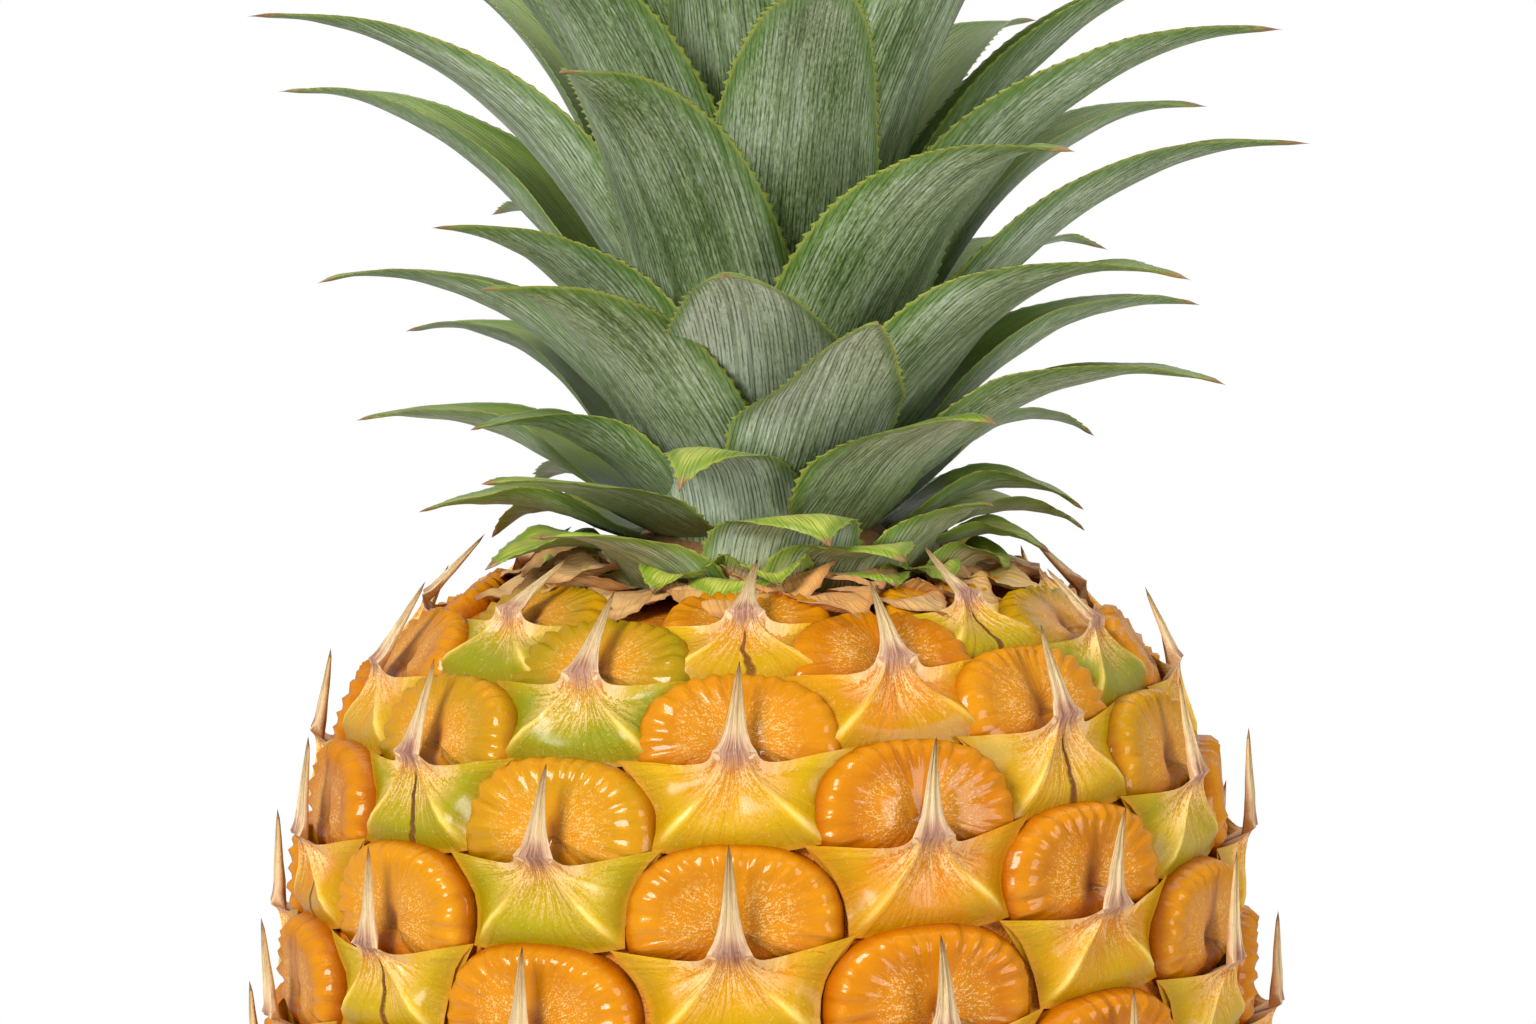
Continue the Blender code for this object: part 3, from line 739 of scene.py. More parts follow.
def eye_tree():
    """Lays one flat shape on the rind at every eye's place, bent to the rind there."""
    b = Builder("eyes_on_rind", {
        "Shape": "Object", "Rind line": "Object", "Rind rows": 1.0, "Columns": float(COLUMNS),
        "Row length": ROW_MM * MM, "Full width radius": FULL_WIDTH_RADIUS, "Unevenness": 0.0, "Crimp": 0.0,
        "Crimps": DISC_CRIMPS, "Material": "Material"})

    def geometry_of(label):
        return b.node("GeometryNodeObjectInfo", {"transform_space": "ORIGINAL"}, {
            "Object": b[label]})["Geometry"]

    line = geometry_of("Rind line")
    position = b.node("GeometryNodeInputPosition")[0]

    def sample(index):
        radius, _, height = b.parts(b.sampled("FLOAT_VECTOR", line, position, index))
        return radius, height

    def surface(row):
        """(radius, height, outward step in radius, outward step in height) of the rind at a row."""
        last = RIND_LINE_POINTS - 1
        share = b.clamp(row / b["Rind rows"], 0.0, 1.0) * last
        low = share.floor().least(last - 1.0)
        part = share - low
        (r0, z0), (r1, z1) = sample(low), sample(low + 1.0)
        run_r, run_z = r1 - r0, z1 - z0
        size = (run_r * run_r + run_z * run_z).root()
        return r0 + run_r * part, z0 + run_z * part, run_z / size, -(run_r / size)

    placed = b.passed("InstanceOnPoints", b["Geometry"], Instance=geometry_of("Shape"))
    placed = b.passed("RealizeInstances", placed)

    x, y, height = b.parts(position)
    height = height * MM
    azimuth, row, size = b.named("azimuth"), b.named("row"), b.named("size")
    radius0, level0, out_r0, out_z0 = surface(row)
    x = x * b.clamp((b["Full width radius"] / radius0) ** WIDENING_POWER, *WIDENING_LIMITS)
    stand, climb = b.named("stand"), b.named("climb")
    rim, turn = b.named("rim"), b.named("turn")
    y = y + climb * b.named("longer")
    height = height + climb * b.named("risen") * MM
    lean = climb * climb * b.named("lean") * MM

    # Chance unevenness, different at every eye, and crimps round a disc's rim.
    wander = b.vector(x * 3.0, y * 3.0 + row * 7.0, azimuth * 5.0)
    uneven = (b.noise(wander, 2.3) - 0.5) * b["Unevenness"] * 2.0 * (1 - climb)
    swing = b.noise(b.vector(turn * 1.1, row * 9.0, azimuth * 3.0), 1.6, 1.0) * 9.0
    wave = (turn * b["Crimps"] + swing).sine()
    gathered = b.noise(b.vector(turn * 0.9, row * 5.0, azimuth * 7.0), 1.3, 1.0)
    near_rim = b.step(rim, 0.56, 0.76) * b.step(rim, 0.98, 0.88) * b.step(gathered, 0.22, 0.52)
    height = height + uneven + wave * near_rim * b["Crimp"]

    # Laid on the rind.
    radius, level, out_r, out_z = surface(row + y)
    turned = azimuth + x * math.tau / b["Columns"]
    lift = height * size
    laid_r, laid_z = radius + out_r * lift, level + out_z * lift
    laid = (laid_r * turned.sine(), -(laid_r * turned.cosine()), laid_z)

    # Standing on the eye's own spot, for the spine.
    up_r, up_z = -out_z0, out_r0
    rise = y * b["Row length"] * size
    side = x * radius0 * math.tau / b["Columns"] - lean * size
    stood_r = radius0 + up_r * rise + out_r0 * lift
    stood_z = level0 + up_z * rise + out_z0 * lift
    sine, cosine = azimuth.sine(), azimuth.cosine()
    stood = (stood_r * sine + side * cosine, side * sine - stood_r * cosine, stood_z)

    where = b.vector(*(b.between(stand, a, c) for a, c in zip(laid, stood)))
    placed = b.passed("SetPosition", placed, Position=where)
    return b.finish(b.passed("SetShadeSmooth", placed))


# ---- one leaf

def leaf_tree():
    """A blade that bends more and more towards its point, with a gutter along it and teeth on its edges."""
    sizes = dict.fromkeys((
        "Length", "Width", "Root tilt", "Tip tilt", "Drift", "Azimuth", "Root height", "Root radius",
        "Thickness", "Tooth", "Wave", "Seed", "Lowness", "Fold", "Pale"), 0.0)
    b = Builder("leaf_blade", {
        **sizes, "Steps": 1, "Teeth": 1, "Taper": LEAF_TAPER, "Clasp": CLASP_ANGLE, "Material": "Material"})
    length, steps, seed = b["Length"], b["Steps"], b["Seed"]

    # The midrib, summed from short straight steps.
    line = b.node("GeometryNodeMeshLine", {"mode": "OFFSET"}, {"Count": steps + 1.0})[0]
    index = b.node("GeometryNodeInputIndex")[0]
    share = index / steps
    tilt = b["Root tilt"] + (b["Tip tilt"] - b["Root tilt"]) * share * share

    def summed(value, place):
        totals = b.node("GeometryNodeAccumulateField", {"data_type": "FLOAT", "domain": "POINT"}, {
            "Value": value * length / steps})["Trailing"]
        low = place.floor()
        ends = [b.sampled("FLOAT", line, totals, i) for i in (low, low + 1.0)]
        return b.between(place - low, *ends)

    # A sheet rolled once round the blade: along it, and round it from one edge over the upper face and back.
    teeth = b["Teeth"]
    grid = b.node("GeometryNodeMeshGrid", None, {
        "Size X": 1.0, "Size Y": 1.0, "Vertices X": teeth * float(SAMPLES_PER_TOOTH) + 1.0,
        "Vertices Y": LEAF_LOOP + 1})[0]
    position = b.node("GeometryNodeInputPosition")[0]
    x, y, _ = b.parts(position)
    t = b.clamp(x + 0.5)
    turn = (y + 0.5) * 4.0
    upper = b.step(turn, 2.001, 1.999)
    flat = b.between(upper, turn - 3.0, 1.0 - turn)
    across = b.clamp((flat * math.pi / 2).sine(), -1.0, 1.0)

    place = b.clamp(t, 0.0, 0.99999) * steps
    radius = b["Root radius"] + summed(tilt.sine(), place)
    height = b["Root height"] + summed(tilt.cosine(), place)
    lean = b["Root tilt"] + (b["Tip tilt"] - b["Root tilt"]) * t * t
    here = b["Azimuth"] + b["Drift"] * t * t

    # Half the blade's width: fuller up to its widest place, then running out to the point.
    rising = (t / LEAF_WIDEST_AT).least(1.0) * math.pi / 2
    rising = LEAF_ROOT_WIDTH + (1 - LEAF_ROOT_WIDTH) * rising.sine()
    past = b.clamp((t - LEAF_WIDEST_AT) / (1 - LEAF_WIDEST_AT))
    falling = 1 - past ** b["Taper"]
    outline = rising.least(falling) * (1 - POINT_NARROWS * b.step(t, *POINT_RANGE))
    half = (b["Width"] / 2.0) * outline
    half = half.least(b["Clasp"] * radius)

    # Teeth in the edges alone, each rising towards the point and of its own size.
    tooth_place = t * teeth
    tooth_part = (tooth_place + 0.001).fraction()
    tooth_number = (tooth_place + 0.001).floor()
    chance = b.node("ShaderNodeTexWhiteNoise", {"noise_dimensions": "2D"}, {
        "Vector": b.vector(tooth_number, seed)})[0]
    saw = (tooth_part * 1.5) ** 2.0 * (0.55 + 0.7 * chance)
    saw = saw * b.step(t, 0.03, 0.14) * b.step(t, 0.985, 0.93)
    at_edge = b.step(abs(across), 0.985, 0.999)
    reach = across * (half + b["Tooth"] * saw * at_edge)

    # How far each face stands off the midrib: a gutter, half the thickness and a slight waver.
    ripple = b.noise_of(t * 5.0, across * 0.9, seed * 3.7, 1.0) - 0.5
    waver = ripple * b["Wave"] * 2.0 * b.step(t, 0.08, 0.4) * b.step(t, 1.0, 0.95)
    closing = b.step(t, 0.0, 0.04) * b.step(t, 1.0, 0.97)
    body = b["Thickness"] / 2.0 * b.clamp(b.between(t, 2.35, 0.35)) * closing
    round_off = 1 - abs(across) ** 4.0
    curl = b.step(b["Tip tilt"], *CURL_TILTS) * CURL_FLATTENS
    channel = b.step(t, CHANNEL_STARTS, CHANNEL_FULL) * (1 - curl * b.step(t, 0.5, 0.8))
    channel = channel - b["Fold"] * b.step(t, *FOLD_RANGE)
    face = upper * 2.0 - 1.0
    lift = CHANNEL_DEPTH * half * channel * across * across + face * body * round_off + waver
    cosine, sine = lean.cosine(), lean.sine()
    out = radius - cosine * lift
    turned = here + reach / radius
    where = b.vector(out * turned.sine(), -(out * turned.cosine()), height + sine * lift)

    numbers = {"share": t, "along": t * length, "across": across * half, "margin": half * (1 - abs(across)),
               "upper": upper, "seed": seed, "lowness": b["Lowness"], "pale": b["Pale"] * b.step(t, 0.1, 0.4)}
    made = grid
    for name, value in numbers.items():
        made = b.store(made, name, value)
    made = b.passed("SetPosition", made, Position=where)
    made = b.passed("MergeByDistance", made, Distance=SEAM_GAP)
    made = b.passed("FlipFaces", made)
    return b.finish(b.passed("SetShadeSmooth", made))


def stage_values(stage):
    """Length, width, both tilts, and the root's height and radius at a stage of the crown."""
    stages = [row[0] for row in LEAF_STAGES]
    return [float(np.interp(stage, stages, [row[i] for row in LEAF_STAGES])) for i in range(1, 7)]


def leaf_changes(k):
    """Leaf k's own changes of length, both tilts and drift: given above, or left to chance."""
    if k in LEAF_CHANGES:
        return LEAF_CHANGES[k]
    if k >= OUTER_LEAVES:
        return 0.0, 0.0, 0.0, 0.0
    chance = random.Random(LEAF_SEED * 1000 + k)
    return 0.0, 0.0, chance.uniform(-TILT_JITTER, TILT_JITTER), chance.uniform(-DRIFT_JITTER, DRIFT_JITTER)


def leaf_sizes(k, thickness, inset=0.0):
    """The sizes of leaf k of the crown, for the leaf tree."""
    length, width, root_tilt, tip_tilt, height, radius = stage_values(k)
    longer, lower, curled, drift = leaf_changes(k)
    fold, taper = LEAF_FOLDS.get(k, 0.0), NARROW_TIPS.get(k, LEAF_TAPER)
    length += longer
    if k < LOWEST_LEAVES:
        lower += LOWEST_RISE
        curled += LOWEST_DROOP
    root_tilt, tip_tilt = root_tilt + lower, tip_tilt + curled
    if k in FOLDED_LEAVES:
        length, width, root_tilt, tip_tilt, height, radius, drift, fold, taper = FOLDED_LEAVES[k]
    stations = LEAF_STATIONS + int(length / STATION_MM)
    return dict(
        Length=length * MM, Width=width * MM, Root_tilt=math.radians(root_tilt),
        Tip_tilt=math.radians(tip_tilt), Drift=math.radians(drift),
        Azimuth=LEAF_ANCHOR_AZIMUTH + (k - LEAF_ANCHOR) * LEAF_DIVERGENCE,
        Root_height=height * MM, Root_radius=(radius - inset) * MM, Thickness=thickness * MM,
        Steps=stations * STEPS_PER_STATION, Teeth=max(6, round(length / TOOTH_SPACING_MM)),
        Tooth=TOOTH_MM * MM, Wave=LEAF_WAVE_MM * MM, Seed=float(k),
        Lowness=smooth_step((LOW_LEAVES - k) / LOW_LEAVES),
        Fold=float(fold), Taper=float(taper), Pale=BLOOM_AND_PAINTED_LIGHT_LEAVES.get(k, 0.0))


# ---- turned pieces

def turned(name, profile, sides, material, wobble=0.0, seed=0):
    """A closed turned mesh from (radius, height) points in mm. A radius of 0 closes it at a pole."""
    chance = np.random.RandomState(seed)
    points, rings = [], []
    for radius, height in profile:
        if radius == 0:
            rings.append([len(points)])
            points.append((0, 0, height * MM))
            continue
        rings.append(list(range(len(points), len(points) + sides)))
        for i in range(sides):
            shift = wobble * chance.uniform(-1, 1)
            points.append(around((radius + shift) * MM, i * math.tau / sides, height * MM))
    faces = []
    for low, high in zip(rings, rings[1:]):
        for i in range(sides):
            after = (i + 1) % sides
            if len(low) == 1:
                faces.append((low[0], high[after], high[i]))
            elif len(high) == 1:
                faces.append((low[i], low[after], high[0]))
            else:
                faces.append((low[i], low[after], high[after], high[i]))
    mesh = mesh_of(name, points, faces)
    mesh.shade_smooth()
    mesh.materials.append(material)
    return mesh


# ---- finishes

def bract_finish():
    """The fleshy bract: pink at the neck of its spine, speckled, then yellow to green at its edges."""
    f = Finish("bract_skin")
    fan, down, green, seam, tint = f.numbers("fan", "down", "green", "seam", "tint")
    side = abs(fan)
    fine = f.grain(2.2, 3.0, 0.6)
    broad = f.grain(0.11, 2.0)
    rays = f.noise_of(fan * 26.0, down * 3.2, tint * 40.0, 3.0, 0.65)
    dashes = f.noise_of(fan * 44.0, down * 20.0, tint * 60.0 + 5.0, 3.0, 0.7)
    dots = f.grain(4.6, 2.0, 0.7)

    flesh = f.ramp(f.clamp(down * 0.5 + 0.5), [
        (0.0, srgb(140, 92, 54)), (0.03, srgb(192, 148, 98)), (0.1, srgb(232, 196, 138)),
        (0.3, srgb(246, 218, 166)), (0.42, srgb(244, 208, 164)), (0.5, srgb(226, 168, 128)),
        (0.56, srgb(222, 144, 60)), (0.64, srgb(218, 130, 8)), (0.8, srgb(208, 130, 0)),
        (1.0, srgb(184, 126, 0))])
    edge = f.step(down, 0.55, 1.0)
    # Painted highlight: the ridge crests and the lip edge are laid in a lighter gold.
    ridge = f.clamp(f.step(abs(side - 0.5), 0.1, 0.0) + f.step(side, 0.8, 1.0) * 0.8) * f.step(down, 0.1, 0.4)
    # Painted shade: the concave side facets between the ridges and the tips are laid in a deeper orange.
    facet_shade = f.step(abs(side - 0.72), 0.2, 0.02) * f.step(down, 0.2, 0.7)
    f.colour = f.mix(facet_shade * 0.72, flesh, srgb(204, 110, 0))

    yellowing = f.clamp(green * 2.2) * f.step(down, 0.12, 0.5)
    f.paint(yellowing * 0.7, 216, 176, 12)
    tip = f.step(side, 0.7, 1.0) * f.step(down, 0.5, 0.9)
    greening = f.clamp(edge * 0.42 + tip * 0.34 + green * 0.93 - 0.08 + (broad - 0.5) * 1.1)
    greening = greening * f.step(down, 0.16, 0.62)
    green_tone = f.mix(f.clamp(green * 1.1 - 0.15), srgb(192, 164, 2), srgb(92, 124, 4))
    f.colour = f.mix(greening * 0.9, f.colour, green_tone)
    # Painted highlight along the ridge crests and the lip edge.
    f.paint(ridge * (0.6 - green * 0.25), 236, 180, 18)

    speckle_zone = f.step(down, 0.02, 0.14) * f.step(down + (broad - 0.5) * 0.5, 0.9, 0.36)
    thick = f.step(abs(side - 0.62), 0.22, 0.05) * 0.06
    speckle = f.step(dashes * 0.5 + dots * 0.5 + (rays - 0.5) * 0.7 + thick, 0.44, 0.6) * speckle_zone
    pore = f.step(fine, 0.6, 0.72) * f.step(down, 0.1, 0.3) * 0.3
    f.paint(f.clamp(speckle * 0.85 + pore), 253, 212, 146)

    mauve = f.step(side, 0.95, 0.3) * f.step(down, -0.26, -0.04)
    mauve = mauve * f.step(down + (rays - 0.5) * 0.4, 0.34, 0.06)
    pale_zone = f.step(down, -0.1, 0.0) * f.step(down + (rays - 0.5) * 0.3, 0.22, 0.03)
    f.paint(pale_zone * 0.6, 246, 206, 168)
    streak = f.noise_of(fan * 12.0, down * 2.0, tint * 27.0, 3.0, 0.6)
    f.paint(f.clamp(mauve * (streak * 3.4 - 1.0)) * 0.9, 158, 104, 98)
    fibre = f.noise_of(fan * 10.0, down * 1.6, tint * 20.0, 3.0, 0.65)
    on_spine = f.step(down, 0.03, -0.05)
    f.paint(on_spine * f.step(fibre, 0.5, 0.34) * 0.55, 176, 122, 76)
    f.paint(on_spine * f.step(fibre, 0.56, 0.7) * 0.55, 250, 232, 200)

    glint = f.step(abs(side - 0.5), 0.05, 0.0) * f.step(down, 0.5, 0.78) * f.step(down, 0.97, 0.86)
    f.paint(glint * 0.6, 252, 228, 128)
    lip = f.step(side, 0.84, 0.97) * f.step(down, -0.2, 0.0) * f.step(down, 0.7, 0.2)
    f.paint(lip * 0.75, 248, 216, 164)
    f.paint(f.step(down, 0.955, 0.985) * 0.5, 236, 158, 44)

    wander = (f.noise_of(down * 3.0, tint * 30.0, 0.0, 2.0) - 0.5) * 0.34
    crack_line = f.step(abs(fan + wander * f.step(down, 0.1, 0.8)), 0.05, 0.012)
    crack = crack_line * f.step(down, 0.22, 0.34) * f.step(seam, 0.5, 0.62) * f.step(fine + rays, 0.7, 0.95)
    f.paint(crack, 120, 66, 34)
    blush = f.noise_of(fan * 2.3, down * 1.6, tint * 90.0, 2.0)
    blushing = f.step(blush, 0.46, 0.64) * f.step(down, 0.15, 0.4) * f.clamp(1 - green * 2.5)
    f.paint(blushing * 0.42, 214, 114, 0)
    # Painted shade: the hem turns a darker olive brown where it rolls down into the crease.
    f.paint(f.step(down, 0.78, 1.0) * 0.45, 150, 96, 2)

    roughness = 0.42 + on_spine * 0.3 + speckle * 0.12 + (fine - 0.5) * 0.16 - f.step(down, 0.3, 0.9) * 0.1
    pleats = f.noise_of(fan * 17.0, down * 1.1, tint * 10.0, 2.0)
    height = pleats * 0.55 + fine * 0.22 + dashes * 0.2 + speckle * 0.04
    height = height - crack * 0.8 + fibre * on_spine * 0.7
    coat = f.clamp((0.3 - f.facing() * 0.34) * (1 - on_spine), 0.0, 0.3)
    return f.close(f.clamp(roughness), height, 0.5, coat=coat, specular=0.2, tint=(1.0, 0.75, 0.3))


def disc_finish():
    """The glossy shell of an eye: deep orange, paler and speckled beside its dimple."""
    f = Finish("eye_skin")
    rim, turn, across, green, tint = f.numbers("rim", "turn", "side", "green", "tint")
    fine = f.grain(2.4, 3.0, 0.6)
    broad = f.grain(0.16, 2.0)
    wave = f.vector(turn.cosine() * rim * 9.0, turn.sine() * rim * 9.0, tint * 50.0)
    rays = f.noise_of(turn * 7.5, rim * 1.7, tint * 33.0, 3.0, 0.6)
    dots = f.grain(4.8, 2.0, 0.7)
    dabs = f.noise(wave, 0.5, 3.0, 0.65)

    f.colour = f.mix(f.clamp(broad * 1.6 - 0.3), srgb(174, 89, 0), srgb(204, 124, 2))
    f.paint(f.clamp(green * 2.2) * 0.6, 220, 156, 24)
    f.paint(f.step(rim, 0.55, 0.86) * (0.15 + rays * 0.6), 216, 140, 4)
    # Painted shade: the outer rim is darker where it falls away into the crease.
    f.paint(f.step(rim, 0.86, 0.98) * 0.8, 168, 78, 0)
    up = turn.sine() * rim
    aside, above = (abs(across) - 0.15) / 0.2, (up - 0.02) / 0.55
    reach = aside * aside + above * above + (dabs - 0.5) * 2.6
    patch = f.step(reach, 1.15, 0.1) * f.step(abs(across), 0.02, 0.08)
    core = f.step(reach, 0.55, -0.1)
    f.paint(patch * 0.25 + core * 0.25, 218, 138, 14)
    streaks = f.noise_of(turn * 22.0, rim * 16.0, tint * 70.0, 2.0, 0.6)
    speckle = f.step(dots * 0.55 + streaks * 0.45 + (dabs - 0.5) * 0.25, 0.49, 0.6) * patch
    f.paint(speckle * 0.78, 250, 202, 120)
    # Painted shade: the lower part of the disc is darker where it lies under the bract's lip.
    f.paint(f.step(up, 0.0, -0.42) * 0.55, 170, 78, 2)
    dimple = f.step(rim, 0.26, 0.04) * f.step(abs(across), 0.06, 0.0)
    f.paint(dimple * 0.7, 140, 66, 20)
    greening = f.clamp(green * 1.4 - 0.62 + (broad - 0.5)) * f.step(rim, 0.15, 0.8)
    f.paint(greening * 0.85, 104, 124, 4)
    f.paint(f.step(fine, 0.62, 0.78) * 0.12, 240, 170, 40)

    roughness = f.clamp(0.26 + speckle * 0.3 + patch * 0.12 + (fine - 0.5) * 0.14)
    crimp = f.noise_of(turn * 5.5, rim * 0.9, tint * 21.0, 1.0)
    height = crimp * f.step(rim, 0.4, 0.8) * 1.3 + fine * 0.14 + speckle * 0.05 + rays * 0.3
    coat = f.clamp(0.46 - f.facing() * 0.5, 0.04, 0.46)
    return f.close(roughness, height, 0.5, coat=coat, coat_roughness=0.1, specular=0.2,
                   tint=(1.0, 0.62, 0.15))


def bed_finish():
    """The skin down in the creases between the eyes, and the trimmed base."""
    f = Finish("crease_skin")
    _, _, z = f.parts(f.place())
    broad = f.grain(0.12, 3.0)
    fine = f.grain(1.7, 3.0, 0.6)
    f.colour = f.mix(f.clamp(broad * 1.6 - 0.3), srgb(232, 124, 2), srgb(206, 130, 4))
    f.paint(f.step(z, 0.138, 0.15) * 0.7, 186, 112, 8)
    base = f.step(z, 0.006, 0.0005)
    scar = f.mix(fine, srgb(122, 84, 46), srgb(188, 150, 92))
    f.colour = f.mix(base * 0.85, f.colour, scar)
    roughness = f.clamp(0.5 + base * 0.3 + (fine - 0.5) * 0.2)
    return f.close(roughness, fine + broad, 0.5)


def leaf_finish(name="leaf_skin", papery=0.0):
    """The crown's leaves: silvery bloom on the outer face, in fine stripes, over green."""
    f = Finish(name)
    share, along, across, margin = f.numbers("share", "along", "across", "margin")
    upper, seed, low, pale = f.numbers("upper", "seed", "lowness", "pale")
    shift = seed * 17.3
    stripe = f.noise_of(across * 2600.0, along * 30.0, shift, 2.0, 0.6)
    grain = f.noise_of(across * 5200.0, along * 900.0, shift + 4.0, 2.0, 0.65)
    vein = f.noise_of(across * 1700.0, along * 9.0, shift + 9.0, 1.0)
    patch = f.noise_of(across * 110.0, along * 42.0, shift + 2.0, 3.0, 0.6)
    rub = f.noise_of(across * 210.0, along * 46.0, shift + 7.0, 3.0, 0.65)

    # The pale share is partly the bloom a leaf has kept and partly painted light, which lifts low leaves out
    # of the crown's shade.
    bloom = f.clamp(0.51 + pale * 0.4 + (stripe - 0.5) * 0.55 + (patch - 0.5) * 0.85 + (grain - 0.5) * 1.2)
    outer = f.ramp(bloom, [(0.0, srgb(42, 74, 16)), (0.28, srgb(92, 120, 54)), (0.58, srgb(156, 173, 130)),
                           (1.0, srgb(208, 220, 202))])
    outer = f.mix(f.step(rub, 0.58, 0.72) * 0.3, outer, srgb(76, 106, 28))
    outer = f.mix(low * 0.5, outer, srgb(142, 152, 44))
    outer = f.mix(f.clamp(patch * 1.4 - 0.2) * papery * 1.5, outer, srgb(188, 150, 98))
    inner = f.mix(f.clamp(stripe * 0.7 + patch * 0.5 - 0.1), srgb(78, 110, 20), srgb(152, 174, 50))
    limed = f.clamp(low * 0.9 + pale * 0.75) * f.step(share, 0.1, 0.5)
    inner = f.mix(limed * (0.35 + patch), inner, srgb(204, 208, 62))
    f.colour = f.mix(upper * 0.85, outer, inner)
    f.paint(f.step(vein, 0.48, 0.36) * (0.2 + 0.3 * grain) * (1 - upper * 0.5), 46, 68, 22)
    dash = f.noise_of(across * 2400.0, along * 220.0, shift + 12.0, 1.0)
    wander = f.noise_of(across * 500.0, along * 16.0, shift + 15.0, 2.0) * 9.0
    line = (across * (math.tau / LEAF_LINE_SPACING) + wander).sine()
    line = f.step(line, 0.3, 0.95) * (0.2 + 0.8 * f.step(dash, 0.58, 0.44))
    f.paint(line * (0.6 - upper * 0.3), 46, 64, 26)

    near_edge = f.step(margin + (stripe - 0.5) * 0.001, 0.0021, 0.0006)
    edge_green = f.mix(low, srgb(84, 122, 14), srgb(116, 150, 12))
    f.colour = f.mix(near_edge * (0.65 + low * 0.2), f.colour, edge_green)
    rimmed = f.step(margin, 0.00042, 0.00012)
    f.paint(rimmed * 0.8, 156, 166, 62)
    foot = f.step(share, 0.16, 0.0)
    f.paint(foot * 0.35, 120, 146, 66)
    dry = f.step(share + (rub - 0.5) * 0.1 + low * 0.03, 0.93, 0.985)
    f.paint(dry * 0.9, 150, 104, 66)
    singed = f.step(patch + rub, 1.28, 1.4) * low * 0.8
    f.paint(singed * 0.7, 168, 128, 84)

    roughness = f.clamp(0.5 + (stripe - 0.5) * 0.25 + (bloom - 0.5) * 0.16 - upper * 0.08)
    height = stripe * 0.5 + vein * 0.5 + grain * 0.3 - line * 0.4
    return f.close(roughness, height, 0.22, sheen=0.08)


def dry_finish():
    """Papery dry bracts: tan and orange brown with fine ribs."""
    f = Finish("dry_bract_skin")
    share, along, across, margin, seed = f.numbers("share", "along", "across", "margin", "seed")
    rib = f.noise_of(across * 2200.0, along * 90.0, seed * 11.0, 2.0, 0.6)
    patch = f.noise_of(across * 160.0, along * 110.0, seed * 5.0, 3.0, 0.6)
    f.colour = f.ramp(f.clamp(patch * 1.4 - 0.2), [
        (0.0, srgb(166, 112, 56)), (0.35, srgb(214, 160, 92)), (0.7, srgb(226, 184, 118)),
        (1.0, srgb(242, 212, 160))])
    kind = f.noise_of(seed * 7.7, 3.0, 0.0)
    f.paint(f.step(kind, 0.52, 0.6) * 0.45, 228, 146, 44)
    f.paint(f.step(rib, 0.5, 0.3) * 0.5, 148, 96, 58)
    f.paint(f.step(margin, 0.0008, 0.0002) * 0.6, 176, 116, 62)
    f.paint(f.step(share, 0.8, 1.0) * 0.6, 140, 86, 48)
    greenish = f.step(f.noise_of(seed * 3.1, 1.0, 0.0), 0.56, 0.6) * f.step(share, 0.9, 0.3)
    f.paint(greenish * 0.5, 160, 170, 30)
    roughness = f.clamp(0.66 + (rib - 0.5) * 0.3)
    return f.close(roughness, rib + patch * 0.6, 0.35, sheen=0.1)


def plate_finish():
    """Dull brown tissue under the papery scales and round the crown's stem."""
    f = Finish("collar_plate_skin")
    fine = f.grain(1.4, 4.0, 0.65)
    f.colour = f.mix(fine, srgb(104, 68, 38), srgb(186, 138, 82))
    return f.close(f.clamp(0.7 + (fine - 0.5) * 0.3), fine, 0.5)


def stalk_finish():
    """The cut stalk: pale, pitted with fibre ends in its face, brown round its rim."""
    f = Finish("cut_stalk_skin")
    x, y, _ = f.parts(f.place())
    radius = (x * x + y * y).root() * 1000.0
    ends = f.node("ShaderNodeTexVoronoi", None, {"Vector": f.in_mm(), "Scale": 0.9})[0]
    fine = f.grain(1.6, 4.0, 0.65)
    f.colour = f.mix(fine, srgb(186, 152, 98), srgb(222, 196, 146))
    f.paint(f.step(ends, 0.34, 0.12) * 0.6, 140, 98, 56)
    f.paint(f.step(radius, 9.5, 12.4) * 0.8, 122, 82, 46)
    return f.close(f.clamp(0.8 + (fine - 0.5) * 0.2), fine - ends * 0.6, 0.6)


# ---- pieces

BRACT_SHARP_FROM = math.radians(76)
BED_SHARP_FROM = math.radians(50)


def build_fruit():
    """The eyes' discs and bracts on the rind, and the skin between them."""
    rind = Rind()
    places = eye_places(rind)
    line = link("rind_line", mesh_of("rind_line", rind.line(), []))
    tree = eye_tree()
    shapes = {"bract": link("bract_shape", bract_template()), "disc": link("disc_shape", disc_template())}
    shared = dict(Rind_line=line, Rind_rows=float(rind.row[-1]))
    discs = tree.run("eye_discs", places, Shape=shapes["disc"], Material=disc_finish(),
                     Unevenness=DISC_UNEVENNESS_MM * MM, Crimp=DISC_CRIMP_MM * MM, **shared)
    bracts = tree.run("eye_bracts", places, Shape=shapes["bract"], Material=bract_finish(),
                      Unevenness=BRACT_UNEVENNESS_MM * MM, Crimp=0.0, **shared)
    drop(places, line, *shapes.values())
    bracts.set_sharp_from_angle(angle=BRACT_SHARP_FROM)
    piece("eye_discs", discs, "rind", "fruit")
    piece("eye_bracts", bracts, "rind", "fruit")

    rows = np.linspace(0, rind.row[-1], BED_STEPS)
    profile = [(0, RECESS_DEPTH_MM), (RECESS_RADIUS_MM, RECESS_DEPTH_MM), (RECESS_RADIUS_MM, 0.0)]
    for row in rows:
        radius, height = rind.at(row)
        profile.append((radius - BED_DEPTH_MM * smooth_step(height / 4), height))
    profile += [(SEAT_RADIUS_MM, SEAT_HEIGHT_MM), (0, SEAT_HEIGHT_MM)]
    bed = turned("rind_bed", profile, BED_SIDES, bed_finish())
    bed.set_sharp_from_angle(angle=BED_SHARP_FROM)
    piece("rind_bed", bed, "rind", "fruit")


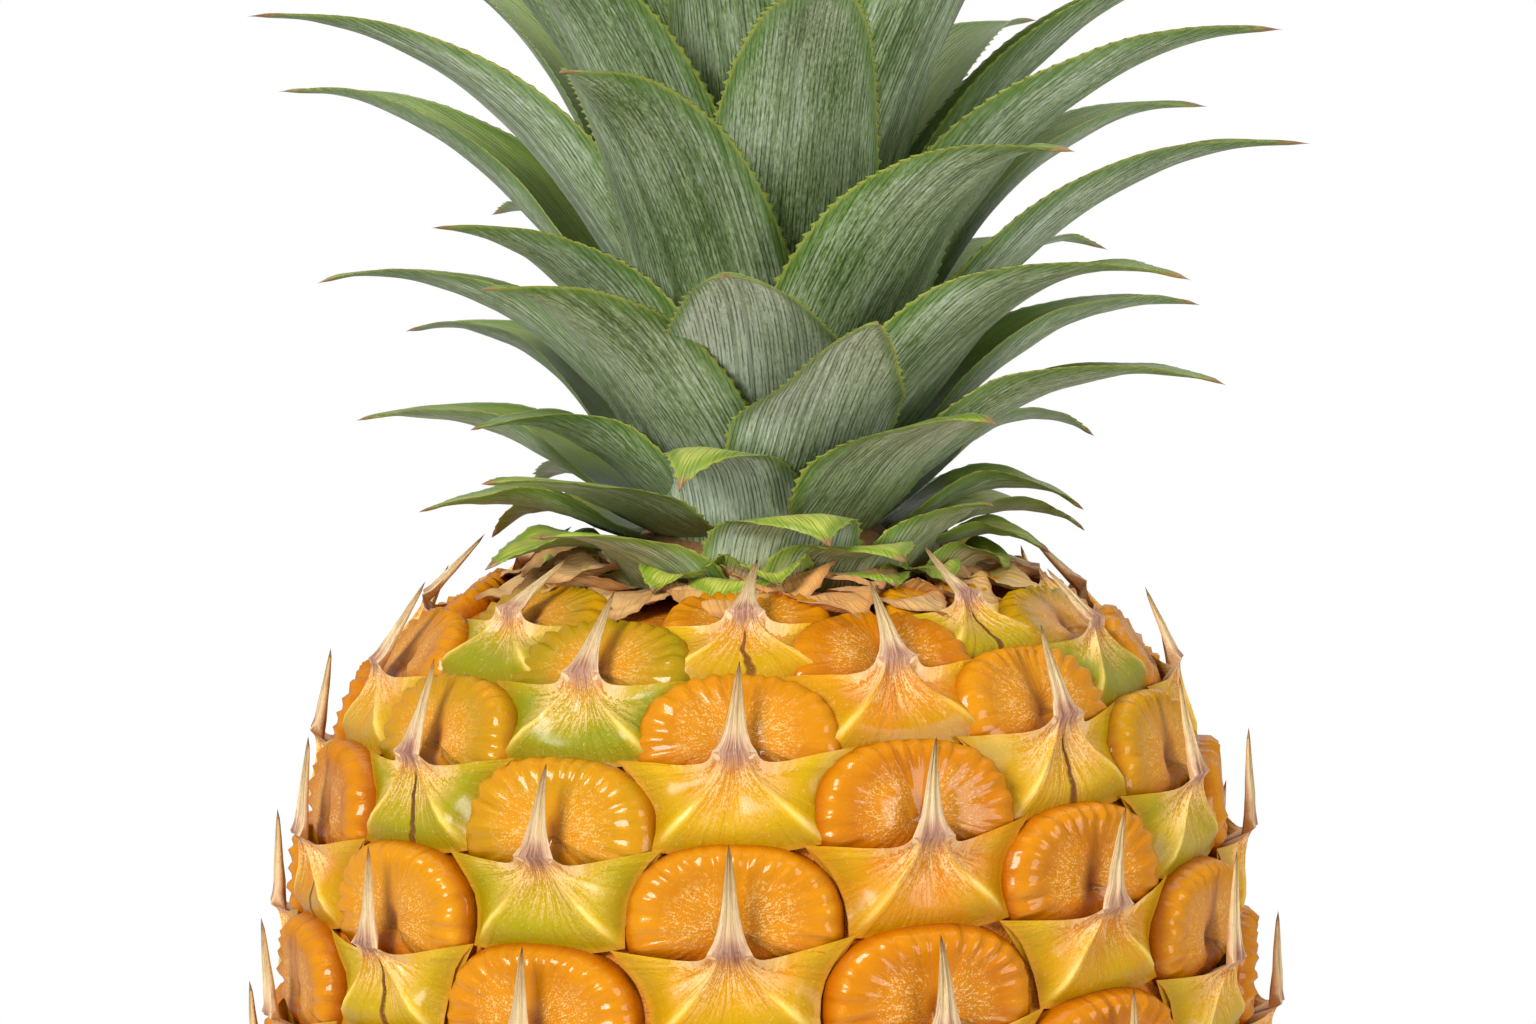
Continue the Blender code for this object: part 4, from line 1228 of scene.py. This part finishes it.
def build_crown():
    """The leaves, the heart they close round, the stem inside and the collar below."""
    tree = leaf_tree()
    seed_point = link("leaf_start", mesh_of("leaf_start", np.zeros((1, 3)), []))
    green = leaf_finish()
    for k in range(OUTER_LEAVES):
        node = f"leaf_{k + 1:02d}"
        mesh = tree.run(f"crown_{node}", seed_point, Material=green, **leaf_sizes(k, LEAF_THICKNESS_MM))
        piece(f"crown_{node}", mesh, "leaf", node)
    heart = []
    for k in range(OUTER_LEAVES, OUTER_LEAVES + HEART_LEAVES):
        sizes = leaf_sizes(k, HEART_THICKNESS_MM, HEART_INSET_MM)
        heart.append(tree.run(f"heart_{k}", seed_point, Material=green, **sizes))
    piece("crown_heart", joined("crown_heart", heart), "leaf", "crown_stem")

    profile = [(0, STEM_FOOT_MM), (LEAF_STAGES[1][6] - STEM_INSET_MM, STEM_FOOT_MM)]
    profile += [(row[6] - STEM_INSET_MM, row[5]) for row in LEAF_STAGES[2:]]
    profile.append((0, LEAF_STAGES[-1][5] + STEM_TIP_MM))
    stem = turned("crown_core", profile, STEM_SIDES, plate_finish(), wobble=0.1, seed=3)
    piece("crown_core", stem, "leaf", "crown_stem")
    build_collar(tree, seed_point)
    drop(seed_point)


def build_collar(tree, seed_point):
    """Papery scales and hanging green ones round the crown's foot, on a thin plate."""
    chance = random.Random(COLLAR_SEED)
    scales = collar_scales(tree, seed_point, chance, dry_finish(), COLLAR_TIERS)
    hanging = collar_scales(tree, seed_point, chance, leaf_finish("hanging_scale_skin", 0.6),
                            [HANGING_TIER], HANGING_START)
    piece("hanging_scales", joined("hanging_scales", hanging), "dry_bracts", "dry_collar")
    piece("collar_scales", joined("collar_scales", scales), "dry_bracts", "dry_collar")
    profile = [(0, COLLAR_BOTTOM_MM), (COLLAR_RADIUS_MM, COLLAR_BOTTOM_MM),
               (COLLAR_RADIUS_MM, COLLAR_TOP_MM), (0, COLLAR_TOP_MM)]
    plate = turned("collar_plate", profile, STEM_SIDES, plate_finish(), wobble=0.3, seed=7)
    piece("collar_plate", plate, "dry_bracts", "dry_collar")


def collar_scales(tree, seed_point, chance, finish, tiers, first=None):
    """Papery scales in rings, each with its own size and set."""
    scales = []
    for count, radius, height, lengths, widths, root_tilts, tip_tilts in tiers:
        start = chance.uniform(0, math.tau) if first is None else first
        for i in range(count):
            scales.append(tree.run(
                f"scale_{len(scales)}", seed_point, Material=finish, Length=chance.uniform(*lengths) * MM,
                Width=chance.uniform(*widths) * MM, Root_tilt=math.radians(chance.uniform(*root_tilts)),
                Tip_tilt=math.radians(chance.uniform(*tip_tilts)),
                Drift=math.radians(chance.uniform(*SCALE_DRIFTS)),
                Azimuth=start + (i + SCALE_SCATTER * chance.uniform(-1, 1)) * math.tau / count,
                Root_height=(height + SCALE_STAGGER_MM * (i % 2)) * MM, Root_radius=radius * MM,
                Thickness=SCALE_THICKNESS_MM * MM, Steps=SCALE_STEPS, Teeth=SCALE_TEETH,
                Tooth=SCALE_TOOTH_MM * MM, Wave=SCALE_WAVE_MM * MM,
                Seed=float(FIRST_SCALE_SEED + len(scales)), Lowness=1.0, Fold=chance.uniform(*SCALE_FOLDS),
                Pale=0.8, Clasp=1.0))
    return scales


def build_stalk():
    """The cut stub in the recess of the base."""
    profile = [*STALK_FACE_MM, (STALK_RADIUS_MM, STALK_RIM_MM), (STALK_RADIUS_MM, STALK_TOP_MM),
               (0, STALK_TOP_MM)]
    stalk = turned("cut_stalk", profile, STEM_SIDES, stalk_finish(), wobble=0.12, seed=9)
    piece("cut_stalk", stalk, "stalk", "stalk")


# ---- stage

FLOOR_RADIUS = 0.46
FLOOR_SOLID_TO = 0.2
FLOOR_HEIGHT = -0.0002
FLOOR_SIDES = 96


def build_stage():
    """A pale round floor that fades out towards its rim, so that no edge or cut shadow shows."""
    f = Finish("pale_floor")
    place = f.place()
    grain = f.noise(place, 30.0)
    x, y, _ = f.parts(place)
    reach = (x * x + y * y) ** 0.5
    shown = f.step(reach, FLOOR_RADIUS, FLOOR_SOLID_TO)
    f.colour = f.mix(grain, (0.86, 0.86, 0.86), (0.9, 0.9, 0.9))
    material = f.close(0.7, grain, 0.05, alpha=shown)
    points = [(0, 0, FLOOR_HEIGHT)]
    points += [around(FLOOR_RADIUS, i * math.tau / FLOOR_SIDES, FLOOR_HEIGHT) for i in range(FLOOR_SIDES)]
    mesh = mesh_of("floor", points, [(0, 1 + i, 1 + (i + 1) % FLOOR_SIDES) for i in range(FLOOR_SIDES)])
    mesh.materials.append(material)
    link("floor", mesh)


# Soft lights: name, place, the height on the axis that it faces, its width and height, and its watts.
LIGHTS = [
    ("key", (-0.75, -1.0, 0.85), 0.13, (0.5, 0.5), 19.5),
    ("fill", (0.95, -0.8, 0.35), 0.13, (0.5, 0.6), 6.2),
    ("top", (0.1, 0.2, 1.1), 0.15, (0.8, 0.8), 3.5),
    ("back", (0.2, 1.1, 0.6), 0.15, (0.9, 0.7), 1.2),
]
SKY_LIGHTING = 0.45
SKY_SEEN = 1.0


def area_light(name, place, faced_height, size, power):
    """A rectangular light that faces a point on the axis."""
    data = bpy.data.lights.new(name, "AREA")
    data.shape = "RECTANGLE"
    data.size, data.size_y = size
    data.energy = power
    obj = link(name, data)
    obj.location = place
    towards = Vector((0, 0, faced_height)) - Vector(place)
    obj.rotation_euler = towards.to_track_quat("-Z", "Y").to_euler()


def build_light():
    """A white surround, which lights at less than the strength it is seen at, and four soft lights."""
    world = bpy.data.worlds.new("bright_surround")
    bpy.context.scene.world = world
    world.use_nodes = True
    world.node_tree.nodes.clear()
    w = Maker(world.node_tree)
    seen = w.node("ShaderNodeLightPath")["Is Camera Ray"]
    strength = w.between(seen, SKY_LIGHTING, SKY_SEEN)
    sky = w.node("ShaderNodeBackground", None, {"Color": (1, 1, 1, 1), "Strength": strength})[0]
    w.node("ShaderNodeOutputWorld", None, {0: sky})
    for light in LIGHTS:
        area_light(*light)
    bpy.context.scene.view_settings.view_transform = "Standard"


# In metres. The view is this wide where it meets the axis.
CAMERA_TARGET_HEIGHT = 0.165
CAMERA_DISTANCE = 0.5
VIEW_WIDTH = 0.17894
CAMERA_ELEVATION = math.radians(4.85)
SENSOR_MM = 36.0


def build_camera():
    """A camera a little above level, on the shoulder and the crown."""
    data = bpy.data.cameras.new("camera")
    data.sensor_width = SENSOR_MM
    data.sensor_fit = "HORIZONTAL"
    data.lens = CAMERA_DISTANCE / VIEW_WIDTH * SENSOR_MM
    data.clip_start = 0.01
    obj = link("camera", data)
    obj.location = (0, -CAMERA_DISTANCE * math.cos(CAMERA_ELEVATION),
                    CAMERA_TARGET_HEIGHT + CAMERA_DISTANCE * math.sin(CAMERA_ELEVATION))
    obj.rotation_euler = (math.pi / 2 - CAMERA_ELEVATION, 0, 0)
    bpy.context.scene.camera = obj


build_fruit()
build_stalk()
build_crown()
build_stage()
build_light()
build_camera()
